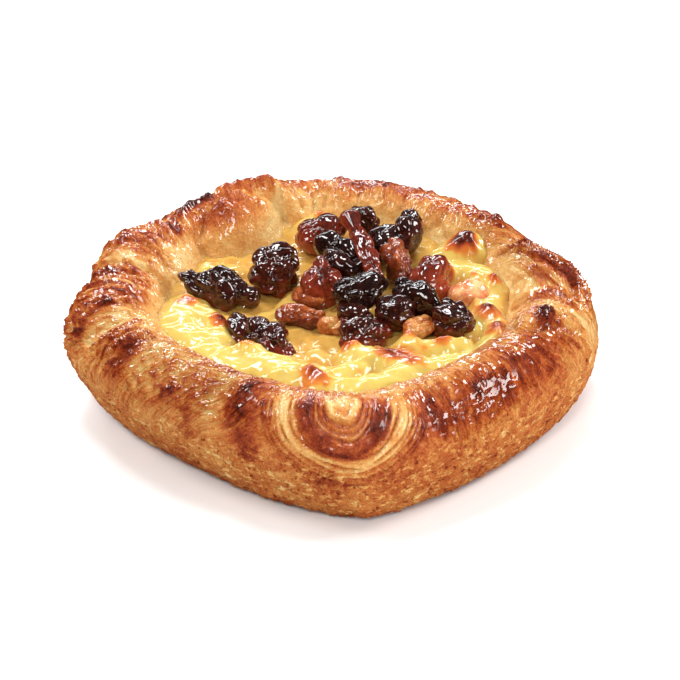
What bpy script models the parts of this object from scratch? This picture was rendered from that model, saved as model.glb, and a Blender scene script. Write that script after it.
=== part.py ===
"""Danish pastry: a square of laminated dough rolled up along its four sides, filled with custard.

Raisins, walnut pieces and one chunk of caramelised fruit lie on the custard. +Z is up, the origin is
at the middle of the underside, and the four dough corners point along +X, -X, +Y and -Y.
Run it with: blender --background --python part.py
"""

import math

import bmesh
import bpy
import numpy as np
from mathutils import Euler, Matrix, Vector

MM = 0.001

# Driving dimensions, in metres.
HALF_WIDTH = 55 * MM  # origin to the left or right corner
HALF_DEPTH = 50 * MM  # origin to the front or back corner
RIM_HEIGHT = 27.2 * MM  # underside to the crest of the rim
GAP = 0.35 * MM  # clearance between pieces that touch

# Columns of facets round the pastry: their spacing in degrees, and the closer spacing round the
# front corner, whose rolled layers are the clearest.
COLUMN_SPACING = 4.0
FRONT_COLUMN_SPACING = 2.5
FRONT_FIRST, FRONT_LAST = 240.0, 300.0
NEAR = math.radians(2.0)

# The crust's section, from the edge of the underside, up the wall, over the crest and down to the
# floor of the well. Each level is a height, then the half width, front and back half depth as
# shares of the driving dimensions, then how square the outline is in front and at the back
# (1 is a diamond, 2 an ellipse), and how far the level leans to +X as a share of the half width.
SECTION_LEVELS = (
    (0.000, 0.845, 0.870, 0.830, 1.42, 1.70, 0.020),
    (0.044, 0.900, 0.926, 0.890, 1.42, 1.70, 0.020),
    (0.147, 0.950, 0.960, 0.940, 1.42, 1.72, 0.020),
    (0.331, 0.984, 0.988, 0.980, 1.43, 1.75, 0.014),
    (0.551, 1.000, 0.996, 1.000, 1.45, 1.80, 0.000),
    (0.735, 0.975, 0.968, 1.000, 1.48, 1.85, 0.000),
    (0.882, 0.920, 0.916, 0.968, 1.52, 1.88, 0.000),
    (0.971, 0.858, 0.858, 0.924, 1.56, 1.90, 0.000),
    (1.000, 0.800, 0.800, 0.872, 1.60, 1.90, 0.000),
    (0.971, 0.745, 0.744, 0.820, 1.62, 1.90, 0.000),
    (0.890, 0.695, 0.692, 0.772, 1.65, 1.90, 0.000),
    (0.787, 0.651, 0.648, 0.728, 1.68, 1.90, 0.000),
    (0.662, 0.615, 0.608, 0.688, 1.70, 1.90, 0.000),
    (0.515, 0.571, 0.560, 0.636, 1.75, 1.90, 0.000),
    (0.404, 0.491, 0.480, 0.540, 1.80, 1.90, 0.000),
)
RING_LEVELS = (0, 1, 2, 3, 4, 4.6, 5.2, 5.8, 6.4, 7, 7.5, 8, 8.5, 9, 9.5, 10, 10.7, 11.5, 12.3, 13, 14)
# The rolled rim swells away from a line half way between these two levels.
ROLL_OUTER_LEVEL, ROLL_INNER_LEVEL = 3.4, 11.5

# Where the foot of the pastry is tucked in: the direction and half width in degrees, and how far.
FOOT_TUCKS = ((214, 30, 2.2 * MM), (262, 16, 0.7 * MM))

# Folds and lobes of the dough that stand proud of the section or dip into it: the direction from
# the origin in degrees, the level, the half widths along the rim (degrees) and across it (levels),
# and the height.
DOUGH_LOBES = (
    ("front_saddle", 268, 8.4, 46.0, 2.2, -1.3 * MM),
    ("left_back_shoulder", 160, 6.8, 15.0, 1.9, 2.0 * MM),
    ("back_left_crest", 118, 7.6, 22.0, 2.2, 1.4 * MM),
    ("right_back_saddle", 14, 7.4, 13.0, 2.0, -1.2 * MM),
    ("front_dark_fold", 268, 6.6, 7.0, 1.1, 0.9 * MM),
    ("front_left_roll", 243, 6.6, 7.0, 1.6, 1.1 * MM),
    ("front_left_dip", 232, 6.3, 4.0, 1.8, -1.0 * MM),
    ("left_front_roll", 213, 6.6, 8.0, 1.8, 0.9 * MM),
    ("left_front_dip", 192, 6.8, 4.5, 2.0, -1.5 * MM),
    ("left_tip", 181, 5.2, 6.0, 1.7, 1.7 * MM),
    ("left_back_dip", 169, 7.2, 4.5, 1.8, -1.6 * MM),
    ("left_back_fold", 156, 7.4, 5.5, 1.9, 1.2 * MM),
    ("back_left_blister", 136, 8.2, 8.0, 1.0, 1.3 * MM),
    ("back_left_lobe", 121, 9.6, 9.0, 1.5, 2.3 * MM),
    ("back_fold", 104, 8.8, 5.5, 1.5, 1.2 * MM),
    ("back_dip", 91, 9.4, 4.5, 1.6, -1.7 * MM),
    ("back_right_roll", 72, 8.6, 10.0, 1.5, 0.9 * MM),
    ("right_knob", 32, 8.4, 3.5, 0.9, 1.6 * MM),
    ("right_back_dip", 22, 8.6, 4.0, 1.8, -0.9 * MM),
    ("right_fold", 6, 7.8, 6.5, 1.7, 1.3 * MM),
    ("right_tip_dip", 353, 7.6, 4.0, 1.6, -1.1 * MM),
    ("right_front_knob", 336, 8.4, 3.5, 0.9, 1.2 * MM),
    ("front_right_roll", 315, 6.6, 14.0, 1.9, 1.0 * MM),
    ("front_right_dip", 290, 7.0, 4.0, 1.4, -0.8 * MM),
)

# The rolled layers show at each corner as nested arcs round a point on the rim: the point's
# direction and level, and the strength. The arcs are a ridge or a groove each: the radius, the
# half width and the height.
CORNER_SWIRLS = (
    ("front", 268, 7.6, 1.0),
    ("left", 179, 8.6, 0.7),
    ("right", 352, 8.6, 0.6),
    ("back", 97, 9.0, 0.5),
)
SWIRL_ARCS = (
    (4.4 * MM, 1.3 * MM, -0.6 * MM),
    (7.4 * MM, 1.4 * MM, 1.0 * MM),
    (10.0 * MM, 1.2 * MM, -0.6 * MM),
    (13.2 * MM, 1.8 * MM, 0.8 * MM),
    (16.4 * MM, 1.4 * MM, -0.5 * MM),
)

# Custard: level of the pool, and piped ropes on it. A rope is an arc round the well: first and
# last direction in degrees, where it runs as a share of the edge's distance, radius and height.
CUSTARD_EDGE_LEVEL = 10.7
CUSTARD_POOL = 19.6 * MM
CUSTARD_EDGE_THICKNESS = 0.9 * MM
CUSTARD_TOP_SHARES = (0.35, 0.58, 0.71, 0.79, 0.86, 0.93, 1.0)
CUSTARD_UNDER_SHARES = (0.55, 0.80, 0.90, 0.96, 1.0)
CUSTARD_ROPES = (
    (158, 226, 0.87, 5.2 * MM, 4.6 * MM),
    (222, 262, 0.86, 4.6 * MM, 4.4 * MM),
    (256, 302, 0.86, 5.0 * MM, 4.8 * MM),
    (292, 336, 0.87, 5.4 * MM, 4.6 * MM),
    (336, 392, 0.86, 5.0 * MM, 4.2 * MM),
    (30, 72, 0.88, 4.6 * MM, 3.8 * MM),
    (72, 152, 0.92, 4.2 * MM, 3.2 * MM),
)
# Peaks drawn up by the piping bag: x, y, radius and height.
CUSTARD_PEAKS = (
    (-5.5 * MM, -31.0 * MM, 3.0 * MM, 1.9 * MM),
    (9.6 * MM, -25.6 * MM, 4.2 * MM, 1.8 * MM),
    (2.5 * MM, -18.5 * MM, 3.0 * MM, 2.4 * MM),
    (14.0 * MM, -21.3 * MM, 3.0 * MM, 1.8 * MM),
    (28.5 * MM, 17.4 * MM, 2.6 * MM, 2.6 * MM),
    (24.1 * MM, 8.4 * MM, 2.0 * MM, 2.4 * MM),
    (33.0 * MM, 1.5 * MM, 2.4 * MM, 2.0 * MM),
    (29.4 * MM, -8.1 * MM, 2.6 * MM, 2.0 * MM),
    (28.0 * MM, -20.5 * MM, 2.8 * MM, 1.7 * MM),
    (-28.8 * MM, -5.0 * MM, 3.0 * MM, 1.6 * MM),
)

# Toppings: name, centre (x, y, z), length, width and height, then the turn about Z and the pitch
# of the long axis, in degrees. All sizes are in millimetres here and are scaled below.
RAISINS = (
    ("raisin_01", (-23.5, 6.0, 24.4), (17.5, 9.5, 7.8), -29, 0),
    ("raisin_02", (-11.8, 10.0, 24.8), (11.0, 9.0, 11.0), 50, 0),
    ("raisin_03", (-16.0, -12.0, 23.3), (16.0, 9.5, 8.0), -42, 2),
    ("raisin_04", (-0.7, 24.6, 25.2), (10.8, 8.2, 8.0), 14, 0),
    ("raisin_05", (8.3, 25.8, 27.0), (6.8, 6.4, 7.6), 34, 0),
    ("raisin_06", (7.0, 11.4, 29.3), (20.0, 4.6, 4.4), -77, 12),
    ("raisin_07", (2.4, 11.8, 26.6), (11.0, 7.2, 7.2), -52, 4),
    ("raisin_08", (-2.2, 4.6, 24.2), (8.6, 7.2, 8.6), 80, 0),
    ("raisin_09", (4.9, -3.4, 27.4), (9.6, 6.6, 6.4), 18, 4),
    ("raisin_10", (17.3, 20.6, 26.9), (9.6, 6.4, 8.2), 70, 10),
    ("raisin_11", (12.2, 18.6, 25.4), (8.2, 6.6, 7.0), 20, 0),
    ("raisin_12", (20.6, 5.0, 24.0), (9.4, 7.0, 8.2), 60, 0),
    ("raisin_13", (16.6, -6.0, 26.4), (8.6, 6.4, 7.0), -40, -6),
    ("raisin_14", (22.8, -11.6, 24.4), (8.6, 8.0, 8.4), -50, 0),
    ("raisin_15", (11.6, -8.6, 25.2), (7.6, 6.2, 6.2), 30, 0),
    ("raisin_16", (5.0, -14.0, 24.0), (11.4, 7.2, 6.8), 22, 0),
    ("raisin_17", (3.0, -8.6, 24.4), (6.4, 5.0, 5.0), -30, 0),
)
WALNUTS = (
    ("walnut_01", (13.8, 8.4, 26.4), (12.4, 5.6, 8.4), -82, -8),
    ("walnut_02", (-7.4, -4.8, 22.8), (10.2, 5.6, 5.4), -24, -4),
    ("walnut_03", (-1.3, -8.4, 22.5), (6.2, 4.4, 4.2), -30, -4),
    ("walnut_04", (-5.4, 1.8, 23.0), (7.6, 4.8, 4.4), -42, 0),
    ("walnut_05", (15.8, -13.0, 23.6), (6.4, 5.0, 4.6), 12, 0),
)
FRUIT = (("fruit_chunk", (28.0, 1.0, 23.0), (8.8, 7.0, 6.4), -12, 0),)
TOPPING_SEGMENTS, TOPPING_RINGS = 10, 7
LUMP_SHARE = 0.09  # how far a topping's lumps stand out, as a share of its radius
SEPARATING_DIRECTIONS = 600  # directions tried for the plane between two toppings

# Colours are linear RGB, then roughness.
FINISHES = {
    "baked_dough": ((0.52, 0.19, 0.06), 0.38),
    "custard": ((0.80, 0.55, 0.15), 0.22),
    "raisin": ((0.045, 0.012, 0.008), 0.12),
    "walnut": ((0.26, 0.08, 0.03), 0.22),
    "fruit": ((0.52, 0.16, 0.07), 0.25),
}


def finish(name):
    """The material of that name, made the first time it is asked for."""
    if name in bpy.data.materials:
        return bpy.data.materials[name]
    colour, roughness = FINISHES[name]
    material = bpy.data.materials.new(name)
    material.use_nodes = True
    shader = material.node_tree.nodes["Principled BSDF"]
    shader.inputs["Base Color"].default_value = (*colour, 1)
    shader.inputs["Roughness"].default_value = roughness
    shader.inputs["Metallic"].default_value = 0
    return material


def section(level):
    """The section's values at a level, read from a smooth curve through SECTION_LEVELS."""
    table = np.array(SECTION_LEVELS)
    last = len(table) - 1
    low = min(int(level), last - 1)
    t = level - low
    before, here, after, beyond = (table[min(max(low + k, 0), last)] for k in (-1, 0, 1, 2))
    return 0.5 * (
        2 * here
        + (after - before) * t
        + (2 * before - 5 * here + 4 * after - beyond) * t**2
        + (3 * here - before - 3 * after + beyond) * t**3
    )


def turned_from(angle, direction):
    """The angle's distance from a direction, in degrees, from -180 to 180."""
    return (math.degrees(angle) - direction + 180) % 360 - 180


def foot_tuck(angle):
    """How far the foot is tucked in there."""
    return sum(depth * math.exp(-((turned_from(angle, at) / half) ** 2)) for at, half, depth in FOOT_TUCKS)


def smooth_point(angle, level):
    """A point of the crust before its lobes are raised."""
    height, width, front, back, square_front, square_back, lean = section(level)
    across, along = math.cos(angle), math.sin(angle)
    front_share = 0.5 - 0.5 * along
    power = square_back + (square_front - square_back) * front_share
    depth = (front if along < 0 else back) * HALF_DEPTH
    half = width * HALF_WIDTH
    radius = ((abs(across) / half) ** power + (abs(along) / depth) ** power) ** (-1 / power)
    radius -= foot_tuck(angle) * min(1.0, max(0.0, (4.5 - level) / 2.5))
    return Vector((radius * across + lean * HALF_WIDTH, radius * along, height * RIM_HEIGHT))


def lobe_height(angle, level):
    """How far the lobes lift the dough there."""
    total = 0.0
    for _, at, at_level, along, across, height in DOUGH_LOBES:
        turn = turned_from(angle, at) / along
        total += height * math.exp(-(turn**2) - ((level - at_level) / across) ** 2)
    return total


def swirl_height(point):
    """How far the nested arcs of the nearest corner lift the dough at a point of the section."""
    total = 0.0
    for _, at, at_level, strength in CORNER_SWIRLS:
        centre = smooth_point(math.radians(at), at_level)
        distance = (point - centre).length
        for radius, half_width, height in SWIRL_ARCS:
            total += strength * height * math.exp(-(((distance - radius) / half_width) ** 2))
    return total


def crust_point(angle, level):
    """A point of the crust, pushed out from the middle of the rolled rim.

    The underside and the well's floor stay plain.
    """
    point = smooth_point(angle, level)
    outer, inner = (smooth_point(angle, at) for at in (ROLL_OUTER_LEVEL, ROLL_INNER_LEVEL))
    outward = (point - (outer + inner) / 2).normalized()
    plain = min(1.0, level / 2.5) * min(1.0, max(0.0, (11.2 - level) / 1.2))
    return point + outward * plain * (lobe_height(angle, level) + swirl_height(point))


def column_angles():
    """The directions of the columns, in radians, with closer ones round the front corner."""
    front = FRONT_LAST - FRONT_FIRST
    close = round(front / FRONT_COLUMN_SPACING)
    wide = round((360 - front) / COLUMN_SPACING)
    degrees = [FRONT_FIRST + front * step / close for step in range(close)]
    degrees += [FRONT_LAST + (360 - front) * step / wide for step in range(wide)]
    return [math.radians(value) for value in degrees]


ANGLES = column_angles()


def ring(bm, place):
    """One closed row of vertices round the pastry, each at place(angle)."""
    return [bm.verts.new(place(angle)) for angle in ANGLES]


def bridge(bm, lower, upper):
    """Faces between two rows."""
    for here in range(len(lower)):
        after = (here + 1) % len(lower)
        bm.faces.new((lower[here], lower[after], upper[after], upper[here]))


def cap(bm, row, middle):
    """Closes a row with a fan of triangles round its middle point."""
    centre = bm.verts.new(middle)
    for here in range(len(row)):
        bm.faces.new((row[here], row[(here + 1) % len(row)], centre))


def finished_object(name, bm, material, collection):
    """Turns a bmesh into an object, shaded smooth."""
    bmesh.ops.recalc_face_normals(bm, faces=bm.faces)
    mesh = bpy.data.meshes.new(name)
    bm.to_mesh(mesh)
    bm.free()
    mesh.shade_smooth()
    mesh.materials.append(finish(material))
    made = bpy.data.objects.new(name, mesh)
    collection.objects.link(made)
    return made


def build_crust(collection):
    """The dough: one loft from the underside over the rim to the floor of the well."""
    bm = bmesh.new()
    rows = [ring(bm, lambda angle, at=level: crust_point(angle, at)) for level in RING_LEVELS]
    for lower, upper in zip(rows, rows[1:]):
        bridge(bm, lower, upper)
    cap(bm, rows[0], (0, 0, 0))
    cap(bm, rows[-1], (0, 0, well_floor()))
    return finished_object("crust", bm, "baked_dough", collection)


def well_floor():
    return SECTION_LEVELS[-1][0] * RIM_HEIGHT


def flat_length(point):
    return math.hypot(point.x, point.y)


def around(angle):
    """A direction and the ones beside it, where the dough may stand a little closer or higher."""
    return (angle - NEAR, angle, angle + NEAR)


def custard_reach(angle):
    """The distance from the middle to the custard's edge, inside any lobe that hangs over it."""
    walls = (9, 9.5, 10, CUSTARD_EDGE_LEVEL)
    edges = [flat_length(crust_point(near, level)) for near in around(angle) for level in walls]
    return min(edges) - GAP


def dough_height(angle, distance):
    """The height of the dough of the well at a distance from the middle."""
    found = []
    for near in around(angle):
        wall = [crust_point(near, level) for level in reversed(RING_LEVELS) if level >= 9.5]
        distances = [0.0] + [flat_length(point) for point in wall]
        heights = [well_floor()] + [point.z for point in wall]
        found.append(float(np.interp(distance, distances, heights)))
    return max(found)


def custard_height(angle, share):
    """The height of the custard's top at a share of the way out: the pool, its ropes and peaks."""
    reach = custard_reach(angle)
    x, y = (reach * share * part for part in (math.cos(angle), math.sin(angle)))
    height = CUSTARD_POOL
    for first, last, at_share, radius, rise in CUSTARD_ROPES:
        from_middle = abs(turned_from(angle, (first + last) / 2))
        beyond = math.radians(max(0.0, from_middle - (last - first) / 2)) * reach
        away = abs(at_share - share) * reach
        bulge = 1 - (away**2 + beyond**2) / radius**2
        if bulge > 0:
            height = max(height, CUSTARD_POOL + rise * math.sqrt(bulge))
    for peak_x, peak_y, radius, rise in CUSTARD_PEAKS:
        height += rise * math.exp(-(math.hypot(x - peak_x, y - peak_y) / radius) ** 2)
    lowest = dough_height(angle, reach * share) + GAP + CUSTARD_EDGE_THICKNESS
    return max(height, lowest)


def custard_row(bm, share, height_at):
    """A row of the custard at a share of the way out to its edge."""

    def place(angle):
        distance = custard_reach(angle) * share
        flat = (distance * math.cos(angle), distance * math.sin(angle))
        return Vector((*flat, height_at(angle, share)))

    return ring(bm, place)


def build_custard(collection):
    """The custard: it fills the well, and its top carries the ropes and peaks."""
    bm = bmesh.new()
    tops = [custard_row(bm, share, custard_height) for share in CUSTARD_TOP_SHARES]

    def under(angle, share):
        return dough_height(angle, custard_reach(angle) * share) + GAP

    unders = [custard_row(bm, share, under) for share in CUSTARD_UNDER_SHARES]
    for rows in (tops, unders):
        for inner, outer in zip(rows, rows[1:]):
            bridge(bm, inner, outer)
    bridge(bm, tops[-1], unders[-1])
    cap(bm, tops[0], (0, 0, CUSTARD_POOL))
    cap(bm, unders[0], (0, 0, well_floor() + GAP))
    return finished_object("custard", bm, "custard", collection)


def build_seat(collection):
    """The space that no topping may enter: the custard and a gap above it."""
    bm = bmesh.new()

    def above(angle, share):
        return custard_height(angle, share) + GAP

    tops = [custard_row(bm, share, above) for share in CUSTARD_TOP_SHARES]
    for inner, outer in zip(tops, tops[1:]):
        bridge(bm, inner, outer)
    bottom = custard_row(bm, 1.0, lambda angle, share: 0.0)
    bridge(bm, tops[-1], bottom)
    cap(bm, tops[0], (0, 0, CUSTARD_POOL + GAP))
    cap(bm, bottom, (0, 0, 0))
    seat = finished_object("seat", bm, "custard", collection)
    seat.hide_render = True
    seat.display_type = "WIRE"
    return seat


def ellipsoid(centre, size, turn, pitch):
    """A topping's centre and the matrix that takes the unit sphere to its shape, in metres."""
    turned = Euler((0, math.radians(pitch), math.radians(turn))).to_matrix()
    return np.array(centre) * MM, np.array(turned) @ np.diag(size) * (MM / 2)


def separating_plane(first, second):
    """The plane that costs two ellipsoids least: its normal and the two faces' distances along it.

    Returns None where they're clear of each other.
    """
    step = np.arange(SEPARATING_DIRECTIONS)
    up = 1 - (2 * step + 1) / SEPARATING_DIRECTIONS
    turn = step * math.pi * (3 - math.sqrt(5))
    flat = np.sqrt(1 - up**2)
    directions = np.stack([flat * np.cos(turn), flat * np.sin(turn), up], axis=1)
    swell = 1 + LUMP_SHARE
    reach_first = np.linalg.norm(directions @ first[1], axis=1) * swell
    reach_second = np.linalg.norm(directions @ second[1], axis=1) * swell
    room = directions @ (second[0] - first[0]) - reach_first - reach_second
    best = int(np.argmax(room))
    if room[best] > GAP:
        return None
    normal = directions[best]
    end_first = normal @ first[0] + reach_first[best]
    start_second = normal @ second[0] - reach_second[best]
    middle = (end_first + start_second) / 2
    return normal, middle - GAP / 2, middle + GAP / 2


def lumpy(direction, seed):
    """How far a topping's surface stands out in a direction, as a share of its radius."""
    x, y, z = direction
    wave = math.sin(4.1 * x + 2.3 * seed) + math.sin(3.7 * y - 1.9 * seed + 1.3 * x)
    wave += math.sin(3.3 * z + 3.1 * seed - 1.7 * y)
    return LUMP_SHARE * wave / 3


def keep_side(bm, at, normal):
    """Cuts a closed mesh with a plane, keeps the part behind the normal and closes the cut."""
    geometry = bm.verts[:] + bm.edges[:] + bm.faces[:]
    bmesh.ops.bisect_plane(
        bm, geom=geometry, dist=1e-7, plane_co=at, plane_no=normal, clear_outer=True
    )
    open_edges = [edge for edge in bm.edges if edge.is_boundary]
    bmesh.ops.holes_fill(bm, edges=open_edges, sides=0)


def build_topping(name, shape, seed, cuts, material, collection, seat):
    """A lumpy piece of fruit or nut, cut flat where a neighbour leans on it."""
    centre, matrix = shape
    bm = bmesh.new()
    bmesh.ops.create_uvsphere(
        bm, u_segments=TOPPING_SEGMENTS, v_segments=TOPPING_RINGS, radius=1
    )
    for vertex in bm.verts:
        # The poles lie along the topping's length.
        direction = Vector((vertex.co.z, vertex.co.y, -vertex.co.x))
        grown = np.array(direction) * (1 + lumpy(direction, seed))
        vertex.co = Vector(centre + matrix @ grown)
    for normal, distance in cuts:
        keep_side(bm, Vector(normal * distance), Vector(normal))
    bmesh.ops.triangulate(bm, faces=bm.faces)
    made = finished_object(name, bm, material, collection)
    settle = made.modifiers.new("settle_on_custard", "BOOLEAN")
    settle.operation = "DIFFERENCE"
    settle.solver = "EXACT"
    settle.object = seat
    return made


def build_toppings(collection, seat):
    """Every topping, each with the cuts that keep it clear of its neighbours."""
    kinds = ((RAISINS, "raisin"), (WALNUTS, "walnut"), (FRUIT, "fruit"))
    rows = [(*row, material) for table, material in kinds for row in table]
    shapes = [ellipsoid(*row[1:5]) for row in rows]
    cuts = [[] for _ in rows]
    for first in range(len(rows)):
        for second in range(first + 1, len(rows)):
            plane = separating_plane(shapes[first], shapes[second])
            if plane:
                normal, low, high = plane
                cuts[first].append((normal, low))
                cuts[second].append((-normal, -high))
    for index, (name, *_, material) in enumerate(rows):
        build_topping(name, shapes[index], index + 1, cuts[index], material, collection, seat)


def collection_named(name):
    made = bpy.data.collections.new(name)
    bpy.context.scene.collection.children.link(made)
    return made


def put_origin_under_middle(crust):
    """Moves the shapes so that the origin is at the middle of the underside."""
    points = np.array([tuple(vertex.co) for vertex in crust.data.vertices])
    low, high = points.min(axis=0), points.max(axis=0)
    shift = Matrix.Translation((-(low[0] + high[0]) / 2, -(low[1] + high[1]) / 2, -low[2]))
    for mesh in bpy.data.meshes:
        mesh.transform(shift)


def main():
    for old in list(bpy.data.objects):
        bpy.data.objects.remove(old)
    pastry = collection_named("danish_pastry")
    cutters = collection_named("cutters")
    crust = build_crust(pastry)
    build_custard(pastry)
    build_toppings(pastry, build_seat(cutters))
    put_origin_under_middle(crust)


main()
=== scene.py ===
import math

import bpy
import numpy as np
from mathutils import Euler, Matrix, Vector


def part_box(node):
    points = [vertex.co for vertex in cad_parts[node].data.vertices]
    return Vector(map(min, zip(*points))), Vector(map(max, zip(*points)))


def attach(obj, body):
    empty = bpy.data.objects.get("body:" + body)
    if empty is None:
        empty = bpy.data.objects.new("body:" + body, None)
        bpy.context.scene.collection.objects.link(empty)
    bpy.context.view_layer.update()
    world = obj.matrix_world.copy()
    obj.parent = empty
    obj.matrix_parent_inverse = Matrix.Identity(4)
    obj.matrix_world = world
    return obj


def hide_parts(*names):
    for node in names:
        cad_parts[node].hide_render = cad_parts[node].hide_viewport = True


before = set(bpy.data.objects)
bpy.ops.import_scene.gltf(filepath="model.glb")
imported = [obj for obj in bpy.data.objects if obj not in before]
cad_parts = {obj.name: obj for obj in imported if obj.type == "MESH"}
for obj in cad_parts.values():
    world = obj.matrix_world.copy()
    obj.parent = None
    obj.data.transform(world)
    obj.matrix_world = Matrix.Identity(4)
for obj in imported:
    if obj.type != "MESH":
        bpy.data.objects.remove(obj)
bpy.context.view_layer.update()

mm = 0.001


# ---- noise: each takes an array of points and gives one number a point

def hashed(cells, seed):
    x, y, z = (cells[..., k].astype(np.uint64) for k in range(3))
    n = x * np.uint64(73856093) ^ y * np.uint64(19349663) ^ z * np.uint64(83492791)
    n = (n + np.uint64(seed * 7919 + 17)) * np.uint64(2654435761)
    n = (n ^ (n >> np.uint64(15))) * np.uint64(2246822519)
    n = (n ^ (n >> np.uint64(13))) * np.uint64(3266489917)
    return n ^ (n >> np.uint64(16))


def unitOf(hashes, shift):
    return ((hashes >> np.uint64(shift)) & np.uint64(1023)).astype(float) / 1023


def gradientNoise(points, seed=0):
    cells = np.floor(points)
    inside = points - cells
    cells = cells.astype(np.int64)
    eased = inside**3 * (inside * (inside * 6 - 15) + 10)
    total = 0.0
    for corner in range(8):
        step = np.array([corner & 1, corner >> 1 & 1, corner >> 2 & 1])
        hashes = hashed(cells + step, seed)
        away = inside - step
        slope = sum((unitOf(hashes, 10 * k) * 2 - 1) * away[..., k] for k in range(3))
        weight = np.prod(np.where(step == 1, eased, 1 - eased), axis=-1)
        total = total + weight * slope
    return total * 1.7


def fractal(points, octaves=4, seed=0, gain=0.5, shape=None):
    total, size, reach = 0.0, 1.0, 0.0
    for octave in range(octaves):
        value = gradientNoise(points * 2.03**octave + octave * 5.7, seed + octave)
        total = total + size * (shape(value) if shape else value)
        reach += size
        size *= gain
    return total / reach


def ridged(points, octaves=4, seed=0, gain=0.5):
    return fractal(points, octaves, seed, gain, lambda v: 1 - 2 * np.minimum(np.abs(v) * 1.6, 1))


# Distance to the nearest and to the second nearest of the points scattered one in each cell, and a number for that cell.
def cellular(points, seed=0):
    cells = np.floor(points).astype(np.int64)
    nearest = np.full(points.shape[:-1], 9.0)
    second = nearest.copy()
    mark = np.zeros(points.shape[:-1])
    for corner in range(27):
        step = np.array([corner % 3 - 1, corner // 3 % 3 - 1, corner // 9 - 1])
        hashes = hashed(cells + step, seed)
        away = sum((cells[..., k] + step[k] + unitOf(hashes, 10 * k) - points[..., k]) ** 2 for k in range(3))
        away = np.sqrt(away)
        closer = away < nearest
        second = np.where(closer, nearest, np.minimum(second, away))
        mark = np.where(closer, unitOf(hashes, 5), mark)
        nearest = np.where(closer, away, nearest)
    return nearest, second, mark


def smoothStep(value, low, high):
    t = np.clip((value - low) / (high - low), 0, 1)
    return t * t * (3 - 2 * t)


def bell(value, width):
    return np.exp(-((value / width) ** 2))


# A smooth curve through the control points.
def smoothCurve(points, pieces=6):
    points = np.asarray(points, float)
    ends = [2 * points[0] - points[1], *points, 2 * points[-1] - points[-2]]
    found = []
    for a, b, c, d in zip(ends, ends[1:], ends[2:], ends[3:]):
        for t in np.arange(pieces) / pieces:
            found.append(0.5 * (2 * b + (c - a) * t + (2 * a - 5 * b + 4 * c - d) * t * t + (3 * b - a - 3 * c + d) * t**3))
    return np.array(found + [points[-1]])


# ---- materials

class Wire:
    # One output of a shader node. Numbers and other wires can be added to it, multiplied by it and so on.
    def __init__(self, tree, socket):
        self.tree, self.socket = tree, socket

    def math(self, operation, other=None, swap=False, clamp=False):
        pair = [self] if other is None else [other, self] if swap else [self, other]
        return self.tree.node("ShaderNodeMath", {"operation": operation, "use_clamp": clamp}, dict(enumerate(pair)))

    def __add__(self, other):
        return self.math("ADD", other)

    __radd__ = __add__

    def __sub__(self, other):
        return self.math("SUBTRACT", other)

    def __rsub__(self, other):
        return self.math("SUBTRACT", other, swap=True)

    def __mul__(self, other):
        return self.math("MULTIPLY", other)

    __rmul__ = __mul__

    def __truediv__(self, other):
        return self.math("DIVIDE", other)

    def __pow__(self, other):
        return self.math("POWER", other)

    def __abs__(self):
        return self.math("ABSOLUTE")

    def between(self, low, high):
        found = {"Value": self, "From Min": low, "From Max": high, "To Min": 0.0, "To Max": 1.0}
        return self.tree.node("ShaderNodeMapRange", {"interpolation_type": "SMOOTHSTEP"}, found)

    def clamped(self):
        return self.math("ADD", 0.0, clamp=True)


class Shader:
    # One material's node tree.
    def __init__(self, name):
        self.material = bpy.data.materials.new(name)
        self.material.use_nodes = True
        self.nodes = self.material.node_tree.nodes
        self.links = self.material.node_tree.links
        self.nodes.clear()

    def node(self, kind, settings=None, values=None, output=0):
        made = self.nodes.new(kind)
        for name, value in (settings or {}).items():
            setattr(made, name, value)
        for name, value in (values or {}).items():
            if isinstance(value, Wire):
                self.links.new(value.socket, made.inputs[name])
            else:
                made.inputs[name].default_value = value
        return Wire(self, made.outputs[output])

    def attribute(self, name, output="Fac"):
        return self.node("ShaderNodeAttribute", {"attribute_name": name}, output=output)

    def place(self):
        return self.node("ShaderNodeTexCoord", output="Object")

    # Mottled values from 0 to 1, about 0.5, size millimetres across.
    def mottle(self, size, detail=3.0, roughness=0.6, stretch=(1, 1, 1), distortion=0.0):
        scale = Vector(stretch) * (1000 / size)
        where = self.node("ShaderNodeMapping", {}, {"Vector": self.place(), "Scale": scale})
        found = {"Vector": where, "Scale": 1.0, "Detail": detail, "Roughness": roughness, "Distortion": distortion}
        return self.node("ShaderNodeTexNoise", {}, found)

    def mix(self, factor, first, second, blend="MIX"):
        found = {0: factor, 6: first, 7: second}
        return self.node("ShaderNodeMix", {"data_type": "RGBA", "blend_type": blend}, found, output=2)

    def ramp(self, factor, stops):
        made = self.node("ShaderNodeValToRGB", {}, {"Fac": factor})
        elements = made.socket.node.color_ramp.elements
        while len(elements) < len(stops):
            elements.new(0.5)
        for element, (position, colour) in zip(elements, stops):
            element.position = position
            element.color = (*colour, 1)
        return made

    def bump(self, height, distance, strength=1.0, normal=None):
        found = {"Height": height, "Distance": distance * mm, "Strength": strength}
        if normal:
            found["Normal"] = normal
        return self.node("ShaderNodeBump", {}, found)

    def surface(self, values):
        shader = self.node("ShaderNodeBsdfPrincipled", {}, values)
        end = self.nodes.new("ShaderNodeOutputMaterial")
        self.links.new(shader.socket, end.inputs["Surface"])
        return self.material


def linear(red, green, blue):
    return tuple((c / 255 / 12.92) if c < 10.3 else ((c / 255 + 0.055) / 1.055) ** 2.4 for c in (red, green, blue))


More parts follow.
